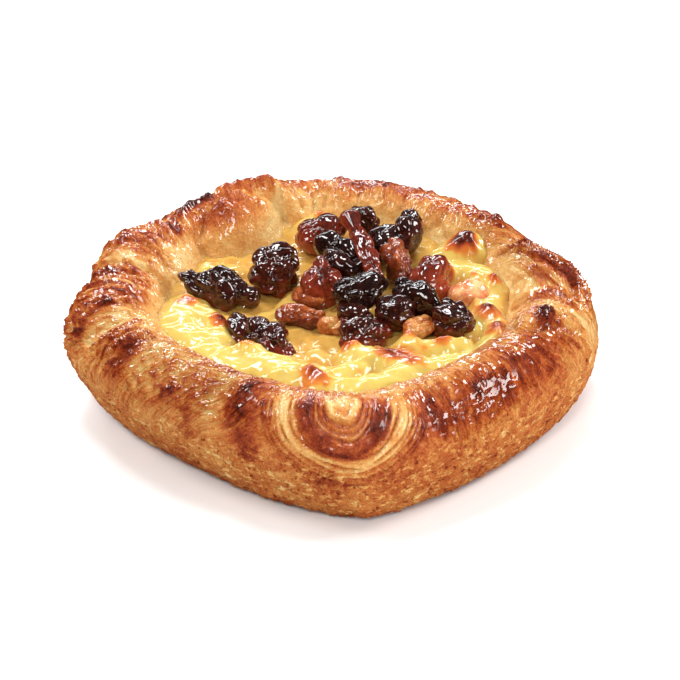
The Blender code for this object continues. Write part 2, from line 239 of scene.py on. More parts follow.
def makeMesh(name, points, faces, material, attributes=None):
    mesh = bpy.data.meshes.new(name)
    mesh.from_pydata(np.asarray(points).tolist(), [], faces)
    for key, values in (attributes or {}).items():
        values = np.asarray(values, np.float32)
        made = mesh.attributes.new(key, "FLOAT" if values.ndim == 1 else "FLOAT_VECTOR", "POINT")
        made.data.foreach_set("value" if values.ndim == 1 else "vector", values.ravel())
    mesh.shade_smooth()
    mesh.materials.append(material)
    made = bpy.data.objects.new(name, mesh)
    bpy.context.scene.collection.objects.link(made)
    return made


def gridFaces(columns, rows):
    here = np.arange(columns)
    after = (here + 1) % columns
    faces = []
    for row in range(rows - 1):
        low, high = row * columns, (row + 1) * columns
        faces += np.stack([low + here, low + after, high + after, high + here], axis=1).tolist()
    return faces


def install(piece, node):
    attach(piece, "root")
    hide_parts(node)


# ---- crust

crust = {
    "halfWidth": 55.0,
    "halfDepth": 50.0,
    "rimHeight": 27.2,
    "columns": 860,
    # height, half width, front and back half depth, how square it is in front and behind, lean to +X
    "levels": [
        (0.000, 0.845, 0.870, 0.830, 1.42, 1.70, 0.020),
        (0.044, 0.900, 0.926, 0.890, 1.42, 1.70, 0.020),
        (0.147, 0.950, 0.960, 0.940, 1.42, 1.72, 0.020),
        (0.331, 0.984, 0.988, 0.980, 1.43, 1.75, 0.014),
        (0.551, 1.000, 0.996, 1.000, 1.45, 1.80, 0.000),
        (0.735, 0.975, 0.968, 1.000, 1.48, 1.85, 0.000),
        (0.882, 0.920, 0.916, 0.968, 1.52, 1.88, 0.000),
        (0.971, 0.858, 0.858, 0.924, 1.56, 1.90, 0.000),
        (1.000, 0.800, 0.800, 0.872, 1.60, 1.90, 0.000),
        (0.971, 0.745, 0.744, 0.820, 1.62, 1.90, 0.000),
        (0.890, 0.695, 0.692, 0.772, 1.65, 1.90, 0.000),
        (0.787, 0.651, 0.648, 0.728, 1.68, 1.90, 0.000),
        (0.662, 0.615, 0.608, 0.688, 1.70, 1.90, 0.000),
        (0.515, 0.571, 0.560, 0.636, 1.75, 1.90, 0.000),
        (0.404, 0.491, 0.480, 0.540, 1.80, 1.90, 0.000),
    ],
    "footTucks": [(214, 30, 2.2), (262, 16, 0.7)],
    # direction, level, half widths along and across, height in millimetres
    "lobes": [
        (268, 8.4, 46, 2.2, -1.3),
        (160, 6.8, 15, 1.9, 2.0),
        (118, 7.6, 22, 2.2, 1.4),
        (14, 7.4, 13, 2.0, -1.2),
        (268, 6.6, 7, 1.1, 0.9),
        (242, 6.5, 6, 1.7, 1.6),
        (232, 6.3, 3.5, 1.8, -1.4),
        (213, 6.6, 8, 1.8, 0.9),
        (192, 6.8, 4.5, 2.0, -1.5),
        (181, 5.2, 6, 1.7, 1.7),
        (169, 7.2, 4.5, 1.8, -1.6),
        (156, 7.4, 5.5, 1.9, 1.2),
        (136, 8.2, 8, 1.0, 1.3),
        (121, 9.6, 9, 1.5, 2.3),
        (104, 8.8, 5.5, 1.5, 1.2),
        (91, 9.4, 4.5, 1.6, -1.7),
        (72, 8.6, 10, 1.5, 0.9),
        (32, 8.4, 3.5, 0.9, 1.6),
        (22, 8.6, 4, 1.8, -0.9),
        (6, 7.8, 6.5, 1.7, 1.3),
        (353, 7.6, 4, 1.6, -1.1),
        (336, 8.4, 3.5, 0.9, 1.2),
        (315, 6.6, 14, 1.9, 1.0),
        (290, 7.0, 4, 1.4, -0.8),
    ],
}


def levelRow(level):
    table = np.array(crust["levels"])
    last = len(table) - 1
    low = np.clip(np.floor(level).astype(int), 0, last - 1)
    t = (level - low)[..., None]
    a, b, c, d = (table[np.clip(low + k, 0, last)] for k in (-1, 0, 1, 2))
    return 0.5 * (2 * b + (c - a) * t + (2 * a - 5 * b + 4 * c - d) * t * t + (3 * b - a - 3 * c + d) * t**3)


def turnedFrom(degrees, direction):
    return (degrees - direction + 180) % 360 - 180


# The plain crust in millimetres, for arrays of directions in degrees and of levels.
def plainCrust(degrees, level):
    degrees, level = np.broadcast_arrays(np.asarray(degrees, float), np.asarray(level, float))
    height, width, front, back, squareFront, squareBack, lean = np.moveaxis(levelRow(level), -1, 0)
    across, along = np.cos(np.radians(degrees)), np.sin(np.radians(degrees))
    power = squareBack + (squareFront - squareBack) * (0.5 - 0.5 * along)
    depth = np.where(along < 0, front, back) * crust["halfDepth"]
    width = width * crust["halfWidth"]
    radius = ((np.abs(across) / width) ** power + (np.abs(along) / depth) ** power) ** (-1 / power)
    tuck = sum(size * bell(turnedFrom(degrees, at), half) for at, half, size in crust["footTucks"])
    radius = radius - tuck * np.clip((4.5 - level) / 2.5, 0, 1)
    return np.stack([radius * across + lean * crust["halfWidth"], radius * along, height * crust["rimHeight"]], axis=-1)


def outwardOf(points, degrees):
    core = (plainCrust(degrees, 3.4) + plainCrust(degrees, 11.5)) / 2
    away = points - core
    return away / np.linalg.norm(away, axis=-1, keepdims=True)


def lobesAt(degrees, level):
    height = sum(size * bell(turnedFrom(degrees, at), along) * bell(level - atLevel, across) for at, atLevel, along, across, size in crust["lobes"])
    turns = np.radians(degrees)
    place = np.stack(np.broadcast_arrays(45 * np.cos(turns), 45 * np.sin(turns), 4.0 * level), axis=-1)
    warp = 0.12 * fractal(place * 0.22, 2, 3)
    domes = 0.0
    for at, atLevel, along, across, size in crust["puffs"]:
        away = np.hypot(turnedFrom(degrees, at) / along, (level - atLevel) / across) + warp
        domes = np.maximum(domes, size * np.sqrt(1 - np.clip(away, 0, 1) ** 2))
    return height + domes


# The crust with its lobes, before the fine relief.
def roundCrust(degrees, level):
    points = plainCrust(degrees, level)
    plain = np.clip(np.asarray(level) / 2.5, 0, 1) * np.clip((13.4 - np.asarray(level)) / 1.2, 0, 1)
    return points + outwardOf(points, degrees) * (plain * lobesAt(degrees, level))[..., None]


# Domes with a crease round them: direction, level, half widths along and across, and height.
crust["puffs"] = [
    (120, 11.1, 17, 2.2, 5.6), (148, 9.6, 5, 0.8, 0.5), (150, 10.6, 8, 1.4, 1.2), (181, 7.2, 9, 2.1, 1.0), (97, 9.8, 5, 1.4, 1.2), (84, 9.7, 6, 1.2, 1.0), (70, 9.6, 7, 1.1, 0.9), (55, 9.5, 7, 1.1, 0.9), (43, 9.5, 4, 1.0, 0.8),
    (196, 7.3, 7, 2.3, 0.8), (12, 9.4, 5, 1.3, 1.0), (0.5, 9.6, 4, 1.2, 0.7), 
    (339, 7.15, 3.1, 0.58, 2.2), (333, 7.9, 4.5, 0.7, 1.2), (31, 7.9, 2.4, 0.5, 1.5), (36, 8.2, 2.6, 0.4, 1.0),
    (166, 6.4, 5, 1.0, 0.4), (325, 5.8, 12, 1.6, 0.5),
]
# Rolled layers that end at the surface, between a first and a last line given from the outside
# inwards: direction and level of each point. Then the count, the half width and height in millimetres, the
# browning, and the side on which each layer drops off: 1 is anticlockwise, -1 clockwise, 0 neither.
# Where a layer drops off, its browning sits at the foot of the drop: painted shade under the layer's edge.
crust["bundles"] = [
    ([(154, 4.9), (152, 5.8), (147, 6.8), (143.5, 7.6), (143, 8.4), (144.5, 9.4)],
     [(158, 4.9), (156, 5.8), (151.5, 6.9), (148.5, 7.8), (148.5, 8.8), (150, 10.2)], 5, 0.5, 1.3, 0.14, 1),
    ([(159, 4.9), (157, 5.8), (153, 6.9), (151.5, 7.8), (152, 8.8), (153, 10.2)],
     [(163.5, 4.8), (162, 5.8), (158.5, 6.9), (156, 7.8), (156, 8.9), (156, 10.8)], 5, 0.5, 1.3, 0.14, 1),
    ([(165, 4.8), (163.5, 5.9), (163, 6.8), (164.5, 7.8), (163.5, 9), (161.5, 10.2), (162, 11.2)],
     [(167, 4.8), (165, 5.9), (164.5, 6.9), (165.8, 7.8), (165, 9), (163.5, 10.2), (163.5, 11.2)], 2, 0.6, 2.0, 0.04, 1),
    ([(169, 4.8), (168, 5.9), (167, 6.9), (167.5, 7.8), (169, 9.2), (170.5, 10.8)],
     [(172, 4.7), (171, 5.8), (170, 6.9), (170.5, 7.9), (171.5, 9.2), (172, 10.6)], 3, 0.45, 0.9, 0.20, 1),
    ([(173, 4.4), (172.5, 5.4), (174, 6.6), (175.5, 7.6), (176.5, 8.8), (178, 10.4)],
     [(185, 4.2), (186, 5.2), (185, 6.3), (185.5, 7.5), (185, 8.6), (184, 10)], 9, 0.45, 1.2, 0.15, 1),
    ([(189, 4.0), (191.5, 5.4), (195, 6.8), (197, 7.8), (197.5, 8.7)],
     [(199, 4.2), (200.5, 5.6), (203, 6.6), (205, 7.6), (206, 8.3)], 8, 0.45, 1.2, 0.15, 1),
    ([(354, 4.8), (357, 5.5), (361, 6.2), (365, 6.8), (369, 7.4), (374, 8.0), (378.5, 8.5), (381.5, 9.4), (383, 10.2)],
     [(350, 4.9), (354, 5.8), (357.5, 6.4), (361, 7.0), (365, 7.9), (372, 8.5), (377, 9.0), (380.5, 9.9)], 7, 0.5, 1.3, 0.10, -1),
    ([(357, 6.6), (359.5, 7.3), (362, 8.0), (364.5, 8.7), (366.5, 9.6), (368, 10.6)],
     [(354.5, 6.6), (356.5, 7.4), (358.5, 8.1), (360.5, 8.8), (362.5, 9.8), (364, 10.8)], 5, 0.5, 1.3, 0.12, -1),
    ([(356, 6.0), (354, 6.9), (352.5, 7.8), (352, 8.8), (352.5, 9.8), (354, 10.8)],
     [(352, 5.8), (350.5, 6.8), (349.5, 7.8), (348.5, 8.8), (348.5, 9.8), (350, 10.8)], 4, 0.5, 1.3, 0.12, -1),
    ([(345, 3.2), (345.5, 4.4), (345, 5.4), (343, 6.5), (341.5, 7.4), (342, 8.6)],
     [(341, 3.2), (342, 4.2), (341.5, 5.2), (339, 6.1), (335, 6.9), (331, 7.4)], 4, 0.5, 0.9, 0.14, -1),
    ([(88, 8.4), (89, 9.4), (90, 10.4)],
     [(48, 8.4), (49, 9.4), (50, 10.8)], 11, 0.9, 0.6, 0.10, 0),
    ([(143, 5.8), (140, 7.0), (138, 7.8)],
     [(96, 6.0), (95, 7.0), (94, 7.9)], 10, 0.9, 0.45, 0.10, 0),
    ([(90, 6.2), (89, 7.2), (88, 8.0)],
     [(40, 6.2), (39, 7.2), (38, 8.0)], 10, 1.0, 0.4, 0.10, 0),
]
# Single folds: points, half width, height, browning and side, as above.
crust["folds"] = [
    ([(146, 8.5), (141, 8.3), (136, 8.1), (130, 7.9), (125, 8.0), (121, 8.2)], 0.8, 1.2, 0.50, 0),
    ([(140, 8.5), (142, 8.9), (143, 9.3)], 0.8, 0.6, 0.40, 0),
    ([(124, 7.5), (115, 7.6), (109, 7.7), (105.5, 8.0), (103, 8.6), (101, 9.4)], 1.2, 1.6, 0.14, 0),
    ([(126, 8.5), (120, 8.5), (114, 8.6), (108.5, 9.0), (104.5, 9.6), (102, 10.4), (101, 11.2)], 1.2, -2.0, -0.16, 0),
    ([(136, 9.2), (137.5, 10), (138, 11)], 0.6, -0.6, 0.05, 0),
    ([(104, 8.1), (100, 8.8), (97, 9.6), (95.5, 10.4)], 0.55, -0.8, 0.04, 0),
    ([(86, 8.3), (87.5, 9.2), (89, 10.2)], 0.5, -0.8, 0.04, 0),
    ([(94, 8.2), (92.5, 9.2), (92, 10.2)], 0.45, -0.5, 0.02, 0),
    ([(120.5, 8.9), (123.5, 9.7)], 0.5, 0.4, 0.06, 0), ([(117.5, 9.0), (120.5, 9.9)], 0.5, 0.4, 0.06, 0),
    ([(114.5, 9.1), (117.5, 10.0)], 0.5, 0.4, 0.06, 0), ([(111.5, 9.4), (114, 10.2)], 0.5, 0.4, 0.04, 0),
    ([(109, 9.8), (111, 10.5)], 0.5, 0.3, 0.0, 0),
    ([(237, 7.2), (236.5, 6.4), (237, 5.4), (239, 4.6)], 0.8, -0.45, 0.05, 0),
    ([(188, 10.2), (189, 9.0), (190, 7.8), (190, 6.6), (188, 5.4), (187, 4.4)], 1.0, -0.7, -0.06, 0),
    ([(330, 7.3), (337, 6.8), (343, 5.8), (346.5, 4.7), (348, 3.2)], 0.8, -1.4, -0.06, 0),
    ([(340, 7.2), (345, 6.3), (349, 5.2), (351, 3.8)], 0.5, -0.9, 0.02, 0),
    ([(300, 7.2), (303, 6.4), (304, 5.2)], 0.9, -0.3, 0.02, 0),
    ([(37, 8.6), (34, 9.3), (31, 9.9)], 0.7, 0.6, 0.15, 0), ([(30, 8.5), (28.5, 9.2), (27, 10)], 0.6, 0.6, 0.18, 0),
    ([(44, 8.6), (41, 9.3), (40, 10)], 0.6, 0.5, 0.06, 0),
]
# How many degrees the fine wrinkles turn for each level upwards, at each direction.
crust["slants"] = (
    [0, 10, 25, 40, 100, 130, 150, 165, 176, 195, 210, 230, 245, 262, 290, 320, 335, 348, 355, 360],
    [3.5, 6.5, 4, 0, 0, 0, -1.2, 0, 1.3, 1.8, 5, 6, 3, 0, -1, -1.5, -4, -2, 1, 3.5],
)
# Nested arcs of the front corner. They lie between four lines from the left to the right.
crust["arcLines"] = [
    [(261.5, 7.6), (261.8, 6.7), (262.6, 6.2), (264, 5.9), (266, 5.75), (268.5, 5.8), (270.5, 6.1), (272, 6.7), (272.5, 7.6)],
    [(258.5, 7.6), (257.3, 6.6), (257.8, 5.8), (260, 5.15), (265.5, 4.75), (271.5, 4.85), (275.3, 5.4), (277.2, 6.3), (277.5, 7.6)],
    [(252, 7.6), (250.6, 6.6), (251, 5.6), (254.5, 4.8), (263, 4.2), (272, 4.2), (279, 4.75), (283, 5.6), (283.5, 7.2)],
    [(248, 7.4), (246.2, 6.4), (247.4, 5.2), (252, 4.3), (263, 3.5), (273, 3.45), (281, 4.05), (287, 5.1), (288, 6.8)],
]
# How far out among the lines, half width, height, and how much darker or paler it is.
crust["arcs"] = [
    (-0.30, 0.6, 0.5, -0.30), (0.00, 0.30, -0.35, 0.22), (0.15, 0.30, 0.30, 0.02), (0.30, 0.25, -0.30, 0.22), (0.42, 0.30, 0.30, -0.12),
    (0.55, 0.25, -0.25, 0.15), (0.66, 0.30, 0.25, 0.02), (0.72, 0.5, 0.40, 0.22), (0.96, 1.15, 0.70, 0.38), (1.20, 0.60, 0.20, 0.22),
    (1.32, 0.25, -0.35, 0.15), (1.45, 0.30, 0.30, -0.06), (1.58, 0.22, -0.30, 0.20), (1.70, 0.35, 0.35, -0.20),
    (1.88, 0.50, 0.30, -0.30), (2.03, 0.22, -0.40, 0.15), (2.15, 0.40, 0.35, -0.30), (2.30, 0.22, -0.30, 0.16), (2.42, 0.40, 0.30, -0.10),
    (2.56, 0.22, -0.35, 0.20), (2.68, 0.35, 0.30, -0.02), (2.82, 0.22, -0.30, 0.18), (2.93, 0.40, 0.45, 0.06), (3.06, 0.30, -0.40, 0.22),
]
# Browner and paler places: direction, level, half widths along and across, and how much.
crust["toasts"] = [
    (181, 7.0, 6, 1.4, 0.02), (168, 6.6, 20, 1.6, -0.06), (152, 7.6, 6, 1.0, 0.04), (168, 8.6, 2.5, 2.4, 0.10), (160, 9.6, 4, 1.2, -0.10), (150, 10.2, 6, 1.0, -0.16),
    (190.5, 7.2, 3.2, 2.4, -0.28), (200, 8.6, 8, 0.9, -0.20), (203, 5.9, 3.2, 0.8, 0.22), (220, 5.6, 3, 0.7, 0.26), (241.5, 6.3, 3.6, 1.1, 0.36), (239.5, 5.2, 2.8, 0.9, 0.28), (243, 4.3, 2.5, 0.6, 0.16), (222, 5.0, 26, 2.2, -0.07), (211, 6.6, 6, 0.6, -0.08), (197, 9.6, 3, 0.8, -0.10),
    (243, 4.2, 3.5, 0.6, 0.20), (226, 4.6, 2.0, 0.9, 0.14), (232, 5.0, 2.5, 1.3, -0.14), (212, 7.5, 12, 0.9, -0.26), (231, 7.4, 7, 0.7, -0.24), (290, 7.7, 22, 0.5, -0.16),
    (208, 4.6, 8, 0.8, -0.05), (253, 6.5, 4, 1.2, -0.30), (281, 6.3, 4, 1.2, -0.30), (267, 7.0, 4.5, 0.7, -0.36), (286, 6.0, 1.5, 0.9, 0.06),
    (290, 5.8, 2.0, 1.2, 0.30), (293, 4.8, 2.2, 0.8, 0.22), (312, 5.8, 10, 0.7, 0.28), (303, 5.6, 5, 0.6, 0.10), (326, 6.0, 7, 1.0, 0.18),
    (339, 7.2, 3.0, 0.6, 0.38), (332, 8.4, 4, 0.6, 0.06), (345.5, 7.4, 3.5, 1.0, -0.26), (350, 4.8, 8, 1.3, -0.34), (2, 6.2, 2.5, 0.4, 0.26), (16, 8.0, 5, 0.5, 0.10),
    (12, 9.4, 6, 1.2, -0.16), (3, 9.6, 5, 0.8, -0.14), (352, 9.2, 6, 1.2, -0.18), (31, 8.0, 2.6, 0.6, 0.50), (36, 8.3, 2.6, 0.5, 0.25),
    (75, 8.3, 20, 0.6, 0.20), (70, 10.2, 22, 0.9, -0.10), (90, 9.0, 7, 1.3, -0.22), (104, 9.5, 3, 0.8, -0.18), (112, 9.3, 4, 0.5, -0.14),
    (130, 8.1, 9, 0.35, 0.30), (126, 9.8, 7, 1.2, 0.42), (115, 10.0, 7, 0.9, 0.26), (141, 8.8, 3, 0.4, 0.25), (127, 10.9, 8, 0.9, 0.04), (108, 10.8, 5, 1.0, -0.14),
]


# For each point, how far it is from a line, on which side, and how far along.
def fromLine(points, outward, line):
    best = np.full(len(points), 1e9)
    side = np.zeros(len(points))
    along = np.zeros(len(points))
    pieces = len(line) - 1
    for index, (start, end) in enumerate(zip(line, line[1:])):
        step = end - start
        t = np.clip((points - start) @ step / (step @ step), 0, 1)
        away = points - start - t[:, None] * step
        distance = np.linalg.norm(away, axis=1)
        closer = distance < best
        best = np.where(closer, distance, best)
        side = np.where(closer, np.sign((np.cross(step, away) * outward).sum(1)), side)
        along = np.where(closer, (index + t) / pieces, along)
    return best, side, along


class Relief:
    # Heights in millimetres and browning that lines add to the points of a surface. Below a dropping layer the browning
    # is painted shade.
    def __init__(self, points, outward):
        self.points, self.outward = points, outward
        self.height = np.zeros(len(points))
        self.brown = np.zeros(len(points))

    # A ridge or groove, or a layer whose edge drops off on one side.
    def draw(self, line, width, height, brown=0.0, drop=0, middle=1.0):
        reach = max(4 * width, 2.0)
        near = np.all((self.points > line.min(0) - reach) & (self.points < line.max(0) + reach), axis=1)
        distance, side, along = fromLine(self.points[near], self.outward[near], line)
        taper = smoothStep(along, 0, 0.15) * smoothStep(1 - along, 0, 0.15)
        profile = bell(distance, width)
        if drop:
            profile = np.where(side * drop < 0, bell(distance, 0.40 * width), np.exp(-distance / (1.7 * width)))
        self.height[near] += height * profile * taper
        shade = bell(distance, 1.1 * width)
        # On a dropping layer the browning is shifted to the foot of the drop: painted shade under the layer's edge.
        if drop:
            shade = 1.4 * bell(distance - 0.6 * width * np.where(side * drop < 0, 1, -1), 0.7 * width)
        self.brown[near] += brown * shade * taper * (1 - (1 - middle) * bell(along - 0.5, 0.24))


def drawBundle(relief, first, last, count, width, height, brown, drop, random):
    share = np.linspace(0, 1, 17)
    spread = []
    for places in (first, last):
        curve = smoothCurve(places)
        spread.append(np.stack([np.interp(share, np.linspace(0, 1, len(curve)), curve[:, k]) for k in (0, 1)], 1))
    for index in range(count):
        part = np.clip((index + random.uniform(-0.3, 0.3)) / max(count - 1, 1), 0, 1)
        start, end = random.uniform(-0.05, 0.15), random.uniform(0.82, 1.05)
        spots = spread[0] + (spread[1] - spread[0]) * part
        spots[:, 0] += 0.22 * np.sin(share * random.uniform(4, 9) + index)
        spots = spots[(share >= start) & (share <= end)]
        strength = random.uniform(0.6, 1.25)
        relief.draw(roundCrust(spots[:, 0], spots[:, 1]), width * random.uniform(0.75, 1.25), height * strength, brown * strength, drop)


def drawArcs(relief):
    curves = np.array([smoothCurve(line, 4) for line in crust["arcLines"]])
    share = np.linspace(0, 1, curves.shape[1])
    for out, width, height, brown in crust["arcs"]:
        low = int(np.clip(np.floor(out), 0, 2))
        spots = curves[low] + (curves[low + 1] - curves[low]) * (out - low)
        spots[:, 0] += 0.30 * np.sin(share * 11 + out * 2.2) + 0.16 * np.sin(share * 23 + out * 7)
        spots[:, 1] += 0.06 * np.sin(share * 17 + out * 3) + 0.04 * np.sin(share * 31 + out * 9)
        relief.draw(roundCrust(spots[:, 0], spots[:, 1]), width, height, brown, middle=0.35 if brown > 0.2 else 0.9)


# Rows and columns stand closer together where there is more to see.
def crustGrid():
    spans = [(0, 2, 7), (2, 3.2, 8), (3.2, 7.4, 52), (7.4, 10, 26), (10, 12, 16), (12, 14, 2)]
    levels = [low + (high - low) * step / count for low, high, count in spans for step in range(count)] + [14.0]
    turns = np.linspace(0, 360, 721)
    density = 1 + 1.1 * bell(turnedFrom(turns, 267), 26) + 0.9 * bell(turnedFrom(turns, 175), 30) + 0.4 * bell(turnedFrom(turns, 355), 20)
    total = np.concatenate([[0], np.cumsum((density[1:] + density[:-1]) / 2)])
    degrees = np.interp(np.arange(crust["columns"]) / crust["columns"] * total[-1], total, turns)
    return degrees, np.array(levels)


def buildCrust():
    degrees, levels = crustGrid()
    columns = len(degrees)
    d, l = (grid.ravel() for grid in np.meshgrid(degrees, levels))
    points = roundCrust(d, l)
    outward = outwardOf(points, d)
    relief = Relief(points, outward)
    random = np.random.default_rng(5)
    drawArcs(relief)
    uneven = fractal(points * 0.28, 3, 3)
    relief.height *= np.clip(0.9 + 0.8 * uneven, 0.2, 1.6)
    relief.brown *= np.clip(1 + 0.9 * uneven, 0.3, 1.7)
    arcBrown = relief.brown.copy()
    for bundle in crust["bundles"]:
        drawBundle(relief, *bundle, random)
    for places, width, height, brown, drop in crust["folds"]:
        spots = smoothCurve(places, 5)
        relief.draw(roundCrust(spots[:, 0], spots[:, 1]), width, height, brown, drop)

    upper = smoothStep(l, 3.8, 5.2) * (1 - smoothStep(l, 10.0, 11.5))
    wall = 1 - smoothStep(l, 3.4, 4.8)
    inner = smoothStep(l, 8.6, 10.0)
    arcsHere = bell(turnedFrom(d, 267), 19) ** 0.5 * smoothStep(l, 3.2, 3.8) * (np.abs(turnedFrom(d, 267)) < 24) * (1 - 0.7 * smoothStep(l, 6.7, 7.3))
    smoothPart = bell(turnedFrom(d, 314), 24) * smoothStep(l, 4.2, 5.0)
    across = np.radians(d - np.interp(d, *crust["slants"]) * (l - 7))
    tilted = np.stack([48 * np.cos(across), 48 * np.sin(across), 1.1 * l], axis=1) + 0.5 * fractal(points * 0.3, 2, 7)[:, None]
    wrinkles = ridged(tilted * 0.50, 3, 11)
    streaks = fractal(tilted * 0.65, 3, 15)
    blisters = fractal(points * 0.30, 4, 21)
    lumps, _, _ = cellular(points * 0.55 + 0.4 * blisters[:, None], 25)
    rough = upper * (1 - 0.55 * smoothPart) * (1 - 0.6 * inner) * (1 - 0.85 * arcsHere)
    back = bell(turnedFrom(d, 120), 65)
    fans = np.clip(bell(turnedFrom(d, 168), 26) + bell(turnedFrom(d, 3), 22), 0, 1)
    frontLeft = bell(turnedFrom(d, 215), 22)
    fine = 0.34 * wrinkles * rough * (0.7 + 0.3 * frontLeft) * (1 - 0.6 * fans)
    fine += blisters * upper * (0.45 + 0.5 * back) * (1 - 0.8 * arcsHere) * (1 - 0.5 * smoothPart) * (1 - 0.6 * fans)
    fine += 0.95 * (0.45 - lumps) * rough * bell(l - 5.8, 1.5) * (0.3 + frontLeft) * (1 - 0.7 * fans)
    nearest, second, mark = cellular(points * 0.42 * (1, 1, 1.5), 31)
    bubbles = smoothStep(second - nearest, 0.0, 0.5)
    fine += wall * (0.22 * bubbles + 0.45 * fractal(points * 0.35, 3, 41) + 0.25 * ridged(points * (0.9, 0.9, 1.3), 2, 43)) * smoothStep(l, 0.0, 0.6)
    # torn flakes round the left-hand tip and the back of the rim
    torn = bell(turnedFrom(d, 184), 7) * bell(l - 4.9, 0.9) + 0.3 * bell(turnedFrom(d, 150), 18) * bell(l - 6.0, 0.9)
    fine += 1.5 * torn * (ridged(points * (0.36, 0.36, 0.6), 2, 47) - 0.35)
    # crisp folds on the big lobe
    fine += 0.6 * bell(turnedFrom(d, 121), 13) * bell(l - 10.0, 1.1) * (ridged(points * (0.35, 0.35, 0.5), 3, 63) - 0.3)
    # comb of short glossy ridges under the custard on the right, and broken bubbles below it
    comb = smoothPart * bell(l - 6.6, 0.9)
    fine += 0.30 * comb * ridged(tilted * 0.55, 2, 51)
    pitted = bell(turnedFrom(d, 305), 20) * bell(l - 4.8, 0.8)
    near, _, _ = cellular(points * 0.5, 55)
    worms = smoothStep(ridged(points * (0.40, 0.40, 0.55), 2, 77), 0.52, 0.78)
    fine += pitted * (0.40 * smoothStep(near, 0.2, 0.5) - 0.30 * worms)
    # long fine lines along the rolled layers
    fine += 0.58 * fans * upper * (ridged(tilted * (0.85, 0.85, 0.40), 2, 79) - 0.4) * (1 - 0.5 * inner)
    # small ripples in the glaze
    fine += (0.17 * ridged(tilted * 1.15, 2, 57) + 0.14 * fractal(points * (0.9, 0.9, 1.2), 2, 59)) * upper * (1 - 0.5 * arcsHere) * (1 - 0.6 * inner) * (1 - 0.6 * smoothPart)
    height = relief.height + fine
    moved = points + outward * height[:, None]
    moved[:, 2] = np.maximum(moved[:, 2], 0.0)

    byLevel = np.interp(l, [0, 0.6, 1.5, 3, 4, 5, 6, 7, 8, 9, 10, 11, 12], [0.85, 0.62, 0.54, 0.49, 0.49, 0.51, 0.51, 0.49, 0.46, 0.34, 0.23, 0.14, 0.08])
    brown = byLevel + arcBrown + 0.34 * np.tanh((relief.brown - arcBrown) / 0.34) + 0.02 * arcsHere
    brown += sum(amount * bell(turnedFrom(d, at), along) * bell(l - atLevel, across) for at, atLevel, along, across, amount in crust["toasts"])
    brown += 0.20 * fractal(points * 0.13, 3, 61) * (1 - 0.6 * arcsHere) * (1 - 0.5 * fans)
    brown += 0.13 * fractal(points * 0.5, 3, 71) * (1 - 0.6 * inner) * (1 - 0.7 * fans)
    brown += 0.28 * fans * upper * (1 - 0.7 * inner) * (ridged(tilted * (0.50, 0.50, 0.18), 2, 91) - 0.25)
    brown += 0.18 * streaks * smoothStep(l, 2.6, 4.0) * (1 - 0.8 * arcsHere) * (1 - 0.6 * inner)
    brown += 0.22 * np.clip(fine / 0.42, -1, 1) * upper * (1 - inner)
    brown += 0.16 * pitted * worms
    brown -= wall * 0.18 * (mark > 0.72) * bubbles * smoothStep(l, 0.4, 1.5)
    patches = fractal(points * 0.22, 3, 81)
    start = 4.5 - 0.7 * bell(turnedFrom(d, 305), 20) + 1.5 * patches
    gloss = smoothStep(l, start, start + 0.6) * (1 - 0.35 * inner) * (1 - 0.4 * arcsHere * (1 - smoothStep(l, 6.2, 6.8)))
    gloss = gloss * np.clip(0.8 + 1.4 * fractal(points * 0.35, 2, 75), 0.15, 1)

    faces = gridFaces(columns, len(levels))
    last = len(moved)
    caps = np.array([[0, 0, 0], [0, 0, crust["levels"][-1][0] * crust["rimHeight"]]])
    moved = np.concatenate([moved, caps])
    top = (len(levels) - 1) * columns
    for here in range(columns):
        after = (here + 1) % columns
        faces += [[last, after, here], [last + 1, top + here, top + after]]
    streaky = smoothStep(l, 3.0, 4.4) * (1 - 0.9 * arcsHere) * (1 - 0.85 * inner * (0.5 + 0.5 * back)) * (1 - 0.5 * back)
    attributes = {"brown": np.append(brown, [0.6, 0.2]), "gloss": np.append(gloss, [0, 0]), "grain": np.append(wall, [1, 0]),
                  "streaky": np.append(streaky, [0, 0]), "flow": np.concatenate([tilted * (1, 1, 0.45), [[0, 0, 0], [0, 0, 0]]])}
    return moved, faces, attributes


